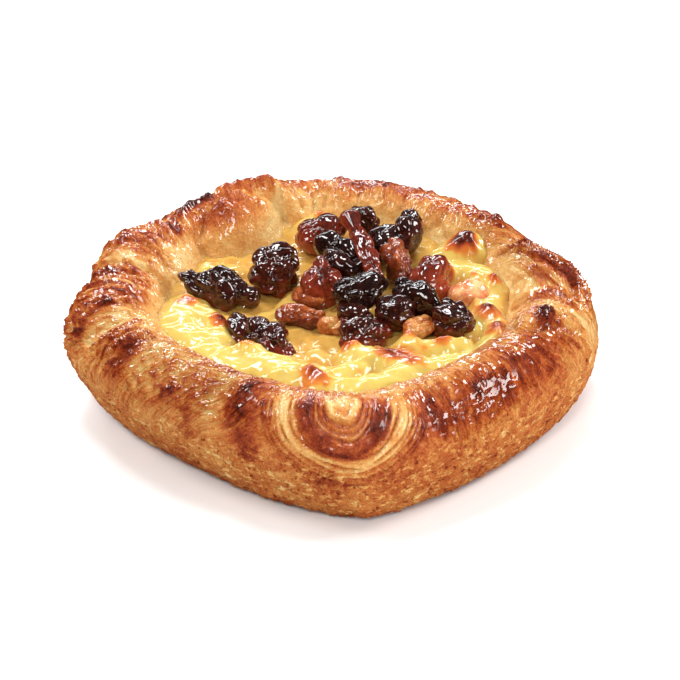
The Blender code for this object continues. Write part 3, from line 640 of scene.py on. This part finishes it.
def crustMaterial():
    shader = Shader("bakedDough")
    brown = shader.attribute("brown")
    gloss = shader.attribute("gloss")
    grain = shader.attribute("grain")
    coarse = shader.mottle(2.6, 4)
    small = shader.mottle(0.7, 3)
    specks = shader.mottle(0.35, 2)
    flecks = shader.mottle(1.9, 2, stretch=(1, 1, 1.8)).between(0.57, 0.63) * grain
    streaky = shader.attribute("streaky")
    flow = {"Vector": shader.attribute("flow", "Vector"), "Scale": 1.4, "Detail": 3.0, "Roughness": 0.6, "Distortion": 0.3}
    streaks = (shader.node("ShaderNodeTexNoise", {}, flow) - 0.5) * streaky
    # Small pits on the wall, sunk in the bump and darkened in colour: painted shade in the pits.
    pits = shader.mottle(1.2, 2).between(0.60, 0.68) * grain
    shade = brown + (coarse - 0.5) * 0.24 + (small - 0.5) * 0.38 + (specks - 0.5) * 0.30 - flecks * 0.26 + pits * 0.24 + streaks * 0.60
    colour = shader.ramp(shade.clamped(), [
        (0.00, linear(230, 197, 132)),
        (0.20, linear(220, 164, 94)),
        (0.40, linear(199, 124, 60)),
        (0.58, linear(172, 82, 36)),
        (0.76, linear(134, 48, 21)),
        (1.00, linear(70, 21, 11)),
    ])
    rough = shader.mottle(1.1, 3)
    roughness = 0.42 - gloss * 0.26 + (rough - 0.5) * 0.2
    pebbles = shader.node("ShaderNodeTexVoronoi", {"feature": "SMOOTH_F1"}, {
        "Vector": shader.node("ShaderNodeMapping", {}, {"Vector": shader.place(), "Scale": Vector((1, 1, 1)) * (1000 / 1.5)}),
        "Scale": 1.0, "Smoothness": 0.4,
    })
    relief = (coarse - 0.5) * 0.5 + small * (0.34 + grain * 0.3) + specks * (0.20 + grain * 0.14) + streaks * 1.7 - pebbles * (gloss * 0.4)
    normal = shader.bump(relief - pits * 0.35 + flecks * 0.12, 0.7, 1.0)
    return shader.surface({
        "Base Color": colour,
        "Roughness": roughness.clamped(),
        "Specular IOR Level": 0.15,
        "Coat Weight": gloss.clamped(),
        "Coat Roughness": 0.04,
        "Coat IOR": 1.6,
        "Subsurface Weight": 0.12,
        "Subsurface Radius": (0.9, 0.4, 0.15),
        "Subsurface Scale": 0.002,
        "Normal": normal,
    })


# Everything made below is shifted so that the pastry stands over the CAD's origin.
low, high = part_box("crust")
crustPoints, crustFaces, crustAttributes = buildCrust()
shift = np.array([(low.x + high.x) / 2, (low.y + high.y) / 2]) / mm - (crustPoints.min(0) + crustPoints.max(0))[:2] / 2
shift = np.append(shift, 0.0)
install(makeMesh("crustBaked", (crustPoints + shift) * mm, crustFaces, crustMaterial(), crustAttributes), "crust")
print("crust made:", len(crustFaces), "faces, shifted by", shift.round(2))


# ---- custard

custard = {
    "columns": 600,
    "rings": 105,
    "pool": 21.4,
    # points (x, y, height of the top), radius and how far the top stands over the side, all in millimetres
    "ropes": [
        ([(-31.3, 1.5, 24.6), (-32.2, -4.5, 25.0), (-30.6, -12, 25.2), (-26.5, -19, 25.0), (-20.0, -24.5, 24.6)], 5.6, 4.6),
        ([(-27.5, -2.0, 24.6), (-26.0, -7.5, 24.9), (-24.5, -13.0, 24.6)], 3.8, 3.6),
        ([(-21.0, -19.5, 24.8), (-16.5, -24.0, 25.4), (-10.5, -28.0, 25.0)], 5.6, 5.0),
        ([(-18.5, -19.5, 25.4), (-12.5, -23.5, 24.8)], 3.0, 3.5),
        ([(-13.0, -27.5, 24.8), (-7.0, -31.5, 25.0), (-0.5, -33.5, 24.8), (6.0, -33.0, 25.2), (11.0, -30.5, 25.2)], 5.2, 5.0),
        ([(-11.0, -24.0, 24.2), (-4.0, -27.5, 24.0), (2.0, -26.5, 24.4)], 4.0, 3.5),
        ([(2.5, -21.5, 25.0), (8.0, -24.0, 25.8), (12.5, -26.5, 25.6)], 5.0, 5.0),
        ([(12.0, -20.0, 25.4), (18.0, -21.0, 25.2), (24.0, -20.5, 25.2)], 3.6, 4.5),
        ([(13.0, -27.0, 25.0), (20.0, -27.5, 25.2), (27.0, -25.0, 25.2), (31.5, -20.5, 25.6)], 4.4, 5.0),
        ([(30.5, -20.0, 25.2), (32.0, -14.5, 25.2), (30.0, -9.0, 24.6)], 4.0, 4.5),
        ([(27.0, -12.0, 24.0), (30.5, -5.0, 23.8), (32.5, 1.0, 23.8)], 4.2, 4.0),
        ([(32.5, 2.5, 24.0), (31.0, 8.5, 24.2), (27.5, 12.5, 24.0)], 5.0, 4.5),
        ([(19.5, 12.0, 23.0), (24.0, 15.5, 24.8), (28.5, 18.0, 26.4), (31.0, 19.5, 26.6)], 4.6, 5.0),
        ([(20.0, 22.0, 22.6), (14.0, 28.5, 22.8), (7.0, 32.5, 23.2)], 4.4, 3.0),
        ([(3.5, 33.5, 23.4), (-1.5, 34.0, 24.2), (-6.0, 31.0, 22.4)], 3.8, 3.5),
        ([(-25.5, 14.5, 24.6), (-21.0, 15.5, 23.6)], 4.0, 4.0),
        ([(-12.0, -2.0, 22.6), (-15.5, -4.5, 22.8)], 3.4, 2.6),
        ([(-9.5, 0.5, 22.8), (-7.0, 6.5, 22.4), (-6.5, 13.0, 22.2)], 3.6, 2.4),
        ([(-6.0, -17.5, 22.6), (-3.0, -20.0, 22.4)], 2.6, 2.2),
        ([(-9.0, -20.0, 22.4), (-11.5, -17.0, 22.0)], 2.6, 2.0),
    ],
    # drawn-up tips: x, y, radius, height and how brown
    "tips": [
        (-6.8, -31.0, 3.9, 1.5, 0.75), (-8.2, -30.2, 1.6, 0.7, 0.2), (0.8, -19.5, 2.4, 1.8, 0.8), (13.2, -17.6, 2.6, 2.0, 0.7),
        (20.0, -19.6, 2.2, 1.0, 0.7), (31.0, -17.4, 3.0, 2.2, 0.45), (30.6, -8.6, 2.8, 2.2, 0.9),
        (33.4, 4.2, 2.0, 2.4, 0.85), (30.0, 7.0, 1.6, 1.0, 0.5), (24.0, 9.6, 1.8, 4.2, 0.95),
        (28.6, 17.6, 3.0, 0.9, 1.2), (30.2, 19.0, 1.6, 0.8, 0.6), (-19.3, -18.2, 2.0, 1.0, 0.4), (-0.6, 34.4, 2.4, 1.0, 0.6),
        (-24.0, -7.0, 2.0, 0.8, 0.7), (-30.6, 0.8, 2.6, 0.4, 0.7), (-24.6, 16.4, 2.0, 0.5, 0.5),
        (22.6, 11.6, 1.3, 2.4, 0.2), (28.6, -3.4, 1.6, 1.4, 0.4),
    ],
    # browned places: x, y, radius and how brown
    "toasts": [
        (7.6, -21.6, 2.8, 0.50), (10.4, -23.8, 3.0, 0.55), (13.0, -26.2, 2.8, 0.62), (8.4, -25.6, 2.0, 0.25), (6.4, -24.0, 1.4, 0.16), (3.0, -28.0, 1.6, 0.25),
        (32.6, -17.5, 4.2, 0.46), (16.0, -22.0, 1.5, 0.3), (-3.0, -26.5, 1.0, 0.2), (28.0, -9.0, 5.0, 0.15),
        (-24.8, -8.6, 2.2, 0.45), (34.5, -12.0, 3.0, 0.25),
    ],
    # thin raised folds: their points (x, y), and the height
    "folds": [
        ([(-30.5, -6.5), (-27.5, -10.5), (-23.5, -10.8)], 0.5),
        ([(-26.8, -22.0), (-22.0, -18.5), (-18.0, -17.6)], 0.55),
        ([(-8.8, -27.4), (-5.0, -31.6), (0.2, -32.8), (4.4, -30.4), (8.0, -26.6)], 0.6),
        ([(-4.6, -23.8), (0.4, -25.8), (3.6, -24.4)], 0.4),
        ([(14.4, -23.6), (18.0, -24.6), (21.5, -24.6)], 0.45),
        ([(12.6, -17.6), (17.4, -19.6), (25.4, -19.9)], 0.5),
        ([(24.6, -23.4), (29.6, -21.4), (32.6, -17.8)], 0.45),
        ([(-14.8, -21.6), (-11.4, -24.6), (-8.6, -25.4)], 0.4),
        ([(-29.8, -2.8), (-27.0, -6.0), (-26.6, -9.8)], 0.4),
        ([(22.0, 16.6), (26.2, 19.4), (29.2, 19.6)], 0.3),
    ],
}


# Distance of each point in plan from a line, and the line's third value there.
def planDistance(plan, line):
    best = np.full(len(plan), 1e9)
    value = np.zeros(len(plan))
    for start, end in zip(line, line[1:]):
        step = (end - start)[:2]
        t = np.clip((plan - start[:2]) @ step / (step @ step), 0, 1)
        away = np.linalg.norm(plan - start[:2] - t[:, None] * step, axis=1)
        closer = away < best
        best = np.where(closer, away, best)
        value = np.where(closer, start[2] + t * (end - start)[2], value)
    return best, value


def custardHeight(plan):
    flat = np.column_stack([plan, np.zeros(len(plan))])
    warp = np.column_stack([fractal(flat * 0.22 + 3, 2, 81), fractal(flat * 0.22 + 9, 2, 82)])
    warped = plan + 1.1 * warp
    sharpness = 3.2
    total = np.exp(sharpness * (fractal(flat * 0.2, 3, 83) * 0.9))
    for places, radius, drop in custard["ropes"]:
        away, top = planDistance(warped, smoothCurve(places, 5))
        share = np.clip(away / radius, 0, 1)
        height = top - custard["pool"] - drop * (1 - np.sqrt(1 - share**2))
        height = np.where(away < radius, height, -3)
        total += np.exp(sharpness * height)
    height = custard["pool"] + np.log(total) / sharpness
    brown = np.zeros(len(plan))
    ragged = fractal(flat * 0.5, 2, 88)
    for x, y, radius, rise, amount in custard["tips"]:
        away = np.hypot(*(warped - (x, y)).T) / radius * (1 + 0.35 * ragged)
        height += 0.8 * rise * np.exp(-(away * 1.1) ** 2.4)
        brown += amount * bell(away, 0.9)
    for x, y, radius, amount in custard["toasts"]:
        brown += amount * bell(np.hypot(*(warped - (x, y)).T), radius)
    for places, rise in custard["folds"]:
        line = smoothCurve([(x, y, 0) for x, y in places], 6)
        away, _ = planDistance(plan + 0.5 * warp, line)
        height += rise * np.exp(-np.abs(away) / 0.55)
    height += 0.55 * fractal(flat * 0.26, 2, 84) + 0.05 * fractal(flat * 0.75, 2, 85) + 0.5 * ragged * np.clip(brown, 0, 0.8)
    height += 0.7 * fractal(flat * 0.16, 2, 89) * smoothStep(np.hypot(plan[:, 0] / 38, plan[:, 1] / 36), 0.85, 1.0)
    return height, brown + 0.22 * fractal(flat * 0.3, 3, 86) * (brown > 0.05)


def buildCustard():
    degrees = np.arange(custard["columns"]) * 360 / custard["columns"]
    frontShare = bell(turnedFrom(degrees, 262), 70)
    edge = roundCrust(degrees, 9.8 - 1.4 * np.clip(1.6 * frontShare, 0, 1))
    reach = np.hypot(edge[:, 0], edge[:, 1])
    shares = (np.arange(1, custard["rings"] + 1) / custard["rings"]) ** 0.85
    turns = np.radians(degrees)
    plan = np.concatenate([np.column_stack([reach * share * np.cos(turns), reach * share * np.sin(turns)]) for share in shares])
    height, brown = custardHeight(plan)
    points = np.column_stack([plan, height])
    points = np.concatenate([points, [[0, 0, custardHeight(np.zeros((1, 2)))[0][0]]]])
    faces = gridFaces(custard["columns"], custard["rings"])
    for here in range(custard["columns"]):
        faces.append([len(points) - 1, here, (here + 1) % custard["columns"]])
    # How high each point stands over the pool; the material darkens the low parts, partly as painted shade.
    depth = np.clip((points[:, 2] - custard["pool"]) / 4.0, 0, 1)
    return points, faces, {"brown": np.append(brown, 0), "raised": depth}


def custardMaterial():
    shader = Shader("custardCream")
    brown = shader.attribute("brown")
    raised = shader.attribute("raised")
    coarse = shader.mottle(5.0, 3)
    small = shader.mottle(0.8, 3)
    shade = brown + (coarse - 0.5) * 0.20 + (small - 0.5) * 0.16
    # Low custard takes the deeper orange pool colour and raised custard the paler yellow: partly the custard's own
    # tone, partly painted shade in the hollows.
    cream = shader.mix((raised + (coarse - 0.5) * 0.8).between(0.0, 0.8), (*linear(205, 156, 76), 1), (*linear(204, 177, 92), 1))
    toasted = shader.ramp(shade.clamped(), [
        (0.20, linear(208, 156, 72)),
        (0.45, linear(196, 112, 46)),
        (0.72, linear(160, 68, 29)),
        (1.00, linear(74, 22, 12)),
    ])
    colour = shader.mix(shade.between(0.12, 0.40), cream, toasted)
    normal = shader.bump((coarse - 0.5) * 0.6 + small * 0.12, 0.35, 0.6)
    return shader.surface({
        "Base Color": colour,
        "Roughness": 0.25,
        "Specular IOR Level": 0.12,
        "Coat Weight": 0.60,
        "Coat Roughness": 0.04,
        "Subsurface Weight": 0.55,
        "Subsurface Radius": (1.0, 0.65, 0.2),
        "Subsurface Scale": 0.0035,
        "Normal": normal,
    })


custardPoints, custardFaces, custardAttributes = buildCustard()
install(makeMesh("custardCream", (custardPoints + shift) * mm, custardFaces, custardMaterial(), custardAttributes), "custard")
print("custard made:", len(custardFaces), "faces")


# ---- toppings

# centre, size, turn and pitch as in the CAD, then how deep its creases are in millimetres, how red it
# is, and its lobes: the centre of each as a share of the half size, and its radius in millimetres
toppings = {
    "raisin_01": ((-23.5, 6.0, 24.4), (17.5, 9.5, 7.8), -29, 0, 1.1, 0.30, [
        (-0.85, 0, 0.5, 1.7), (-0.45, -0.1, 0.0, 2.3), (0.05, 0.3, 0.45, 3.4), (0.35, -0.3, 0.1, 3.2), (0.2, -0.5, -0.6, 2.4), (0.85, -0.1, -0.1, 1.9)]),
    "raisin_02": ((-11.8, 10.0, 24.8), (11.0, 9.0, 11.0), 50, 0, 1.0, 0.40, [
        (-0.3, 0.3, 0.5, 3.2), (0.45, 0.0, 0.6, 2.7), (0, 0, 0, 3.8), (0.1, -0.3, -0.5, 3.3), (-0.6, 0, -0.1, 2.6)]),
    "raisin_03": ((-16.0, -12.0, 23.3), (16.0, 9.5, 8.0), -42, 2, 1.1, 0.50, [
        (-0.85, 0.1, 0.45, 1.9), (-0.5, -0.3, -0.2, 2.8), (-0.1, 0.1, 0.35, 3.3), (0.4, 0, 0.1, 3.2), (0.85, -0.1, -0.2, 2.1)]),
    "raisin_04": ((-0.7, 24.6, 25.2), (10.8, 8.2, 8.0), 14, 0, 0.5, 0.80, [
        (-0.4, 0, -0.1, 3.4), (0.45, 0.2, 0.45, 2.9), (0.8, 0.3, 0.1, 2.1)]),
    "raisin_05": ((8.3, 25.8, 27.0), (6.8, 6.4, 7.6), 34, 0, 0.7, 0.40, [(0, 0, 0.2, 2.9), (0.7, -0.4, -0.3, 1.8)]),
    "raisin_06": ((7.0, 11.4, 29.3), (20.0, 4.6, 4.4), -77, 12, 0.5, 0.85, [
        (-0.85, 0, 0.6, 1.6), (-0.5, 0.1, 0.1, 1.6), (-0.15, 0, 0, 1.5), (0.2, 0.05, 0, 1.5), (0.55, -0.05, 0, 1.7), (0.85, 0, -0.1, 1.3)]),
    "raisin_07": ((2.4, 11.8, 26.6), (11.0, 7.2, 7.2), -52, 4, 0.9, 0.15, [
        (-0.75, 0, 0.55, 2.0), (-0.35, 0.3, 0.3, 2.3), (0.05, -0.2, 0.3, 2.4), (0.45, 0.2, 0.1, 2.3), (0.8, 0, -0.1, 1.9)]),
    "raisin_08": ((-2.2, 4.6, 24.2), (8.6, 7.2, 8.6), 80, 0, 0.8, 0.85, [
        (0, 0, 0, 3.0), (0.5, 0.3, 0.5, 2.2), (-0.3, 0.4, 0.3, 2.4), (-0.2, -0.3, -0.4, 2.6)]),
    "raisin_09": ((4.9, -3.4, 27.4), (9.6, 6.6, 6.4), 18, 4, 0.7, 0.05, [
        (-0.6, 0, 0.1, 2.4), (0, -0.3, -0.1, 2.6), (0.5, 0.1, 0.2, 2.4), (0.85, 0.2, 0.3, 1.5)]),
    "raisin_10": ((17.3, 20.6, 26.9), (9.6, 6.4, 8.2), 70, 10, 0.8, 0.30, [
        (-0.5, 0, -0.2, 2.5), (0.3, 0, 0.3, 2.4), (0.8, 0.2, 0.7, 1.7), (0.5, -0.4, 0.6, 1.4)]),
    "raisin_11": ((12.2, 18.6, 25.4), (8.2, 6.6, 7.0), 20, 0, 0.9, 0.20, [(-0.6, 0, 0, 2.1), (0, 0.2, 0.3, 2.3), (0.5, -0.1, 0, 2.3)]),
    "raisin_12": ((20.6, 5.0, 24.0), (9.4, 7.0, 8.2), 60, 0, 0.6, 0.95, [(-0.5, 0.2, 0.2, 2.6), (0.5, 0.1, 0.3, 2.8), (0, -0.3, -0.3, 2.8)]),
    "raisin_13": ((16.6, -6.0, 26.4), (8.6, 6.4, 7.0), -40, -6, 0.5, 0.10, [
        (-0.7, 0, 0.5, 1.8), (-0.2, 0, 0.1, 2.2), (0.3, 0.1, 0.3, 2.1), (0.8, 0, 0, 1.7)]),
    "raisin_14": ((22.8, -11.6, 24.4), (8.6, 8.0, 8.4), -50, 0, 0.8, 0.40, [
        (-0.2, 0, 0.45, 2.8), (0.4, -0.2, 0.1, 2.7), (-0.3, -0.3, -0.4, 2.7), (0.6, 0.4, -0.3, 2.1)]),
    "raisin_15": ((11.6, -8.6, 25.2), (7.6, 6.2, 6.2), 30, 0, 0.8, 0.30, [(-0.3, 0, 0.1, 2.5), (0.5, 0, -0.1, 2.3)]),
    "raisin_16": ((5.0, -14.0, 24.0), (11.4, 7.2, 6.8), 22, 0, 0.9, 0.50, [
        (-0.6, 0, 0, 2.3), (-0.1, 0.2, 0.3, 2.4), (0.35, -0.2, 0.1, 2.4), (0.8, 0.1, 0, 1.8)]),
    "raisin_17": ((3.0, -8.6, 24.4), (6.4, 5.0, 5.0), -30, 0, 0.6, 0.45, [(-0.3, 0, 0, 2.0), (0.4, 0, 0.2, 2.0)]),
    "walnut_01": ((13.8, 8.4, 26.4), (12.4, 5.6, 8.4), -82, -8, 0.7, 0.65, [
        (-0.75, 0, 0.4, 2.1), (-0.3, 0.2, 0.2, 2.2), (0.1, -0.2, 0.0, 2.3), (0.5, 0.1, 0.2, 2.1), (0.85, 0, -0.2, 1.7)]),
    "walnut_02": ((-7.4, -4.8, 22.8), (10.2, 5.6, 5.4), -24, -4, 0.6, 0.60, [
        (-0.6, 0, 0.1, 2.2), (-0.1, 0.1, 0.2, 2.1), (0.4, -0.1, 0, 1.9), (0.8, 0.1, 0, 1.5)]),
    "walnut_03": ((-1.3, -8.4, 22.5), (6.2, 4.4, 4.2), -30, -4, 0.4, 0.10, [(-0.4, 0, 0, 1.7), (0.4, 0, 0, 1.8)]),
    "walnut_04": ((-5.4, 1.8, 23.0), (7.6, 4.8, 4.4), -42, 0, 0.4, 0.45, [(-0.6, 0, 0.2, 1.6), (0, 0, 0, 1.9), (0.6, 0, 0, 1.6)]),
    "walnut_05": ((15.8, -13.0, 23.6), (6.4, 5.0, 4.6), 12, 0, 0.9, 0.05, [(-0.4, 0, 0, 1.9), (0.4, 0, 0.1, 1.9)]),
    "fruit_chunk": ((28.0, 1.0, 23.0), (8.8, 7.0, 6.4), -12, 0, 0.5, 0.5, [(-0.5, 0, 0, 2.3), (0.2, 0.2, 0.2, 2.7), (0.7, -0.2, -0.1, 2.0)]),
}


def unitSphere(detail):
    import bmesh
    ball = bmesh.new()
    bmesh.ops.create_icosphere(ball, subdivisions=detail, radius=1)
    points = np.array([tuple(v.co) for v in ball.verts])
    faces = [[v.index for v in face.verts] for face in ball.faces]
    ball.free()
    return points, faces


spherePoints, sphereFaces = unitSphere(5)


# How far out along each direction the surface of an ellipsoid is.
def reachOf(directions, centre, radii):
    along, from0 = directions / radii, np.asarray(centre) / radii
    a, b, c = (along**2).sum(1), along @ from0, from0 @ from0 - 1
    return np.where(b * b > a * c, b + np.sqrt(np.maximum(b * b - a * c, 0)), 0) / a


def toppingShape(name, seed):
    centre, size, turn, pitch, creases, red, lobes = toppings[name]
    half = np.array(size) / 2
    directions = spherePoints * half
    directions /= np.linalg.norm(directions, axis=1, keepdims=True)
    sharpness = 3.5
    total = np.exp(sharpness * reachOf(directions, (0, 0, 0), 0.78 * half))
    for x, y, z, radius in lobes:
        spot = np.array((x, y, z)) * (half - 0.7 * radius).clip(0.3)
        total += np.exp(sharpness * np.minimum(reachOf(directions, spot, np.full(3, radius)), 0.62 * max(size)))
    reach = np.log(total) / sharpness
    local = directions * reach[:, None]
    warp = np.column_stack([fractal(local * 0.3 + seed + k, 2, seed + k) for k in range(3)])
    inside = local * (0.8, 1, 1) + warp * 1.3
    # plump parts with creases between them
    billow = 1.2 * np.abs(gradientNoise(inside * 0.21 + seed * 7.3, seed + 5)) ** 0.55
    billow += 0.30 * np.abs(gradientNoise(inside * (0.4, 0.6, 0.6) + seed * 2.9, seed + 6)) ** 0.6
    fine = ridged(local * 0.9 + warp, 2, seed + 13)
    out = spherePoints / half
    out /= np.linalg.norm(out, axis=1, keepdims=True)
    local = local + out * (creases * 2.0 * (billow - 0.62) + 0.05 * fine)[:, None]
    # grown or shrunk to the size above
    low, high = local.min(0), local.max(0)
    fullness = 1.3 if np.hypot(centre[0] - 9, centre[1] - 4) < 18 and name.startswith("raisin") and max(size) < 15 else 1.08
    local = (local - (low + high) / 2) * (fullness * np.array(size) / (high - low))
    turned = np.array(Euler((0, math.radians(pitch), math.radians(turn))).to_matrix())
    # More red on the lower side: a painted glow of light through the raisin skin, and on walnuts, whose ramp darkens
    # with red, painted shade underneath.
    underside_painted_light = np.clip(0.5 - 0.5 * out @ turned.T[:, 2], 0, 1)
    return np.array(centre) + local @ turned.T, {"red": np.clip((red + 0.12) * (0.45 + 0.8 * underside_painted_light) + 0.10 * fine, 0, 1)}


def raisinMaterial():
    shader = Shader("raisinSkin")
    # The red attribute is the raisin's own redness plus a painted glow of light on its lower side.
    red = shader.attribute("red")
    blotch = shader.mottle(2.2, 3)
    small = shader.mottle(0.45, 3)
    shade = (red + (blotch - 0.5) * 0.7).between(0.05, 1.0)
    colour = shader.ramp(shade, [
        (0.0, linear(28, 9, 6)),
        (0.30, linear(64, 19, 10)),
        (0.65, linear(114, 36, 18)),
        (1.0, linear(148, 54, 27)),
    ])
    folds = shader.mottle(1.3, 2, distortion=0.8)
    normal = shader.bump(abs(folds - 0.5) * 2.0 + small * 0.12, 0.3, 0.8)
    return shader.surface({
        "Base Color": colour,
        "Roughness": 0.4,
        "Specular IOR Level": 0.05,
        "Coat Weight": 1.0,
        "Coat Roughness": 0.03,
        "Coat IOR": 1.6,
        "Subsurface Weight": 0.15,
        "Subsurface Radius": (1.0, 0.25, 0.1),
        "Subsurface Scale": 0.0012,
        "Normal": normal,
    })


def walnutMaterial():
    shader = Shader("walnutSkin")
    # The red attribute is the walnut's own darkness plus painted shade on its lower side.
    red = shader.attribute("red")
    blotch = shader.mottle(2.4, 3)
    small = shader.mottle(0.5, 3)
    colour = shader.ramp((red + (blotch - 0.5) * 0.9).clamped(), [
        (0.0, linear(218, 162, 92)),
        (0.22, linear(180, 93, 40)),
        (0.5, linear(118, 44, 19)),
        (1.0, linear(52, 16, 8)),
    ])
    folds = shader.mottle(1.6, 2, distortion=1.0)
    normal = shader.bump(abs(folds - 0.5) * 2.0 + small * 0.3, 0.5, 0.8)
    return shader.surface({"Base Color": colour, "Roughness": 0.32, "Specular IOR Level": 0.1, "Coat Weight": 0.9, "Coat Roughness": 0.06, "Subsurface Weight": 0.15, "Subsurface Radius": (1.0, 0.5, 0.2), "Subsurface Scale": 0.0012, "Normal": normal})


def fruitMaterial():
    shader = Shader("fruitFlesh")
    blotch = shader.mottle(3.0, 3)
    colour = shader.ramp(blotch.between(0.3, 0.7), [(0.0, linear(206, 100, 58)), (0.5, linear(228, 152, 100)), (1.0, linear(240, 200, 144))])
    normal = shader.bump(blotch, 0.3, 0.6)
    return shader.surface({"Base Color": colour, "Roughness": 0.25, "Specular IOR Level": 0.2, "Coat Weight": 0.9, "Coat Roughness": 0.05, "Subsurface Weight": 0.3, "Subsurface Radius": (1.0, 0.5, 0.3), "Subsurface Scale": 0.002, "Normal": normal})


slotMaterials = {"raisin": raisinMaterial(), "walnut": walnutMaterial(), "fruit": fruitMaterial()}
for index, name in enumerate(toppings):
    kind = name.split("_")[0]
    points, attributes = toppingShape(name, index + 1)
    piece = makeMesh(name + "Visual", (points + shift) * mm, sphereFaces, slotMaterials[kind], attributes)
    install(piece, name)
print("toppings made:", len(toppings))


# ---- camera, floor and light

def aim(item, target):
    direction = Vector(target) - item.location
    item.rotation_mode = "QUATERNION"
    item.rotation_quaternion = direction.to_track_quat("-Z", "Y")


def plainMaterial(name, colour, roughness):
    return Shader(name).surface({"Base Color": (*colour, 1), "Roughness": roughness})


view = {"azimuth": -5, "elevation": 32, "distance": 0.55, "target": (0.0010, 0.0003, 0.0136), "lens": 139.5}
target = Vector(view["target"]) + Vector(shift) * mm
azimuth, elevation = math.radians(view["azimuth"]), math.radians(view["elevation"])
back = Vector((math.sin(azimuth) * math.cos(elevation), -math.cos(azimuth) * math.cos(elevation), math.sin(elevation)))
camera = bpy.data.objects.new("camera", bpy.data.cameras.new("camera"))
camera.data.lens = view["lens"]
camera.data.sensor_width = 36
camera.location = target + back * view["distance"]
aim(camera, target)
bpy.context.scene.collection.objects.link(camera)
bpy.context.scene.camera = camera

floorMesh = bpy.data.meshes.new("floor")
floorMesh.from_pydata([(-4, -4, 0), (4, -4, 0), (4, 4, 0), (-4, 4, 0)], [], [(0, 1, 2, 3)])
floorMesh.materials.append(plainMaterial("paleFloor", (0.92, 0.92, 0.92), 0.9))
floor = bpy.data.objects.new("floor", floorMesh)
floor.location.z = -0.0001
floor.visible_glossy = False
bpy.context.scene.collection.objects.link(floor)

# name, place, width, height, watts, colour
for name, place, width, height, power, colour in [
    ("overhead", (-0.14, 0.38, 1.20), 0.42, 0.26, 8.5, (0.98, 0.99, 1.0)),
    ("behind", (0.0, 1.20, 0.62), 1.3, 0.16, 9, (0.94, 0.97, 1.0)),
    ("leftBehind", (-0.93, 0.30, 0.86), 0.38, 0.32, 6.0, (0.98, 0.99, 1.0)),
    ("rightBehind", (1.0, 0.28, 0.77), 0.42, 0.34, 9, (1.0, 0.99, 0.98)),
    ("rightSide", (1.02, -0.60, 0.30), 0.55, 0.30, 6.0, (1.0, 0.99, 0.98)),
    ("frontSoft", (-0.30, -0.95, 1.10), 0.4, 0.4, 7.5, (1.0, 0.98, 0.95)),
]:
    light = bpy.data.objects.new(name, bpy.data.lights.new(name, "AREA"))
    light.data.shape = "RECTANGLE"
    light.data.size, light.data.size_y = width, height
    light.data.energy = power
    light.data.color = colour
    light.location = place
    aim(light, (0, 0, 0.015))
    bpy.context.scene.collection.objects.link(light)

world = bpy.data.worlds.new("studio")
world.use_nodes = True
world.node_tree.nodes["Background"].inputs["Color"].default_value = (1, 1, 1, 1)
world.node_tree.nodes["Background"].inputs["Strength"].default_value = 0.47
world.cycles_visibility.glossy = False
bpy.context.scene.world = world
bpy.context.scene.view_settings.view_transform = "Standard"
bpy.context.scene.view_settings.look = "None"
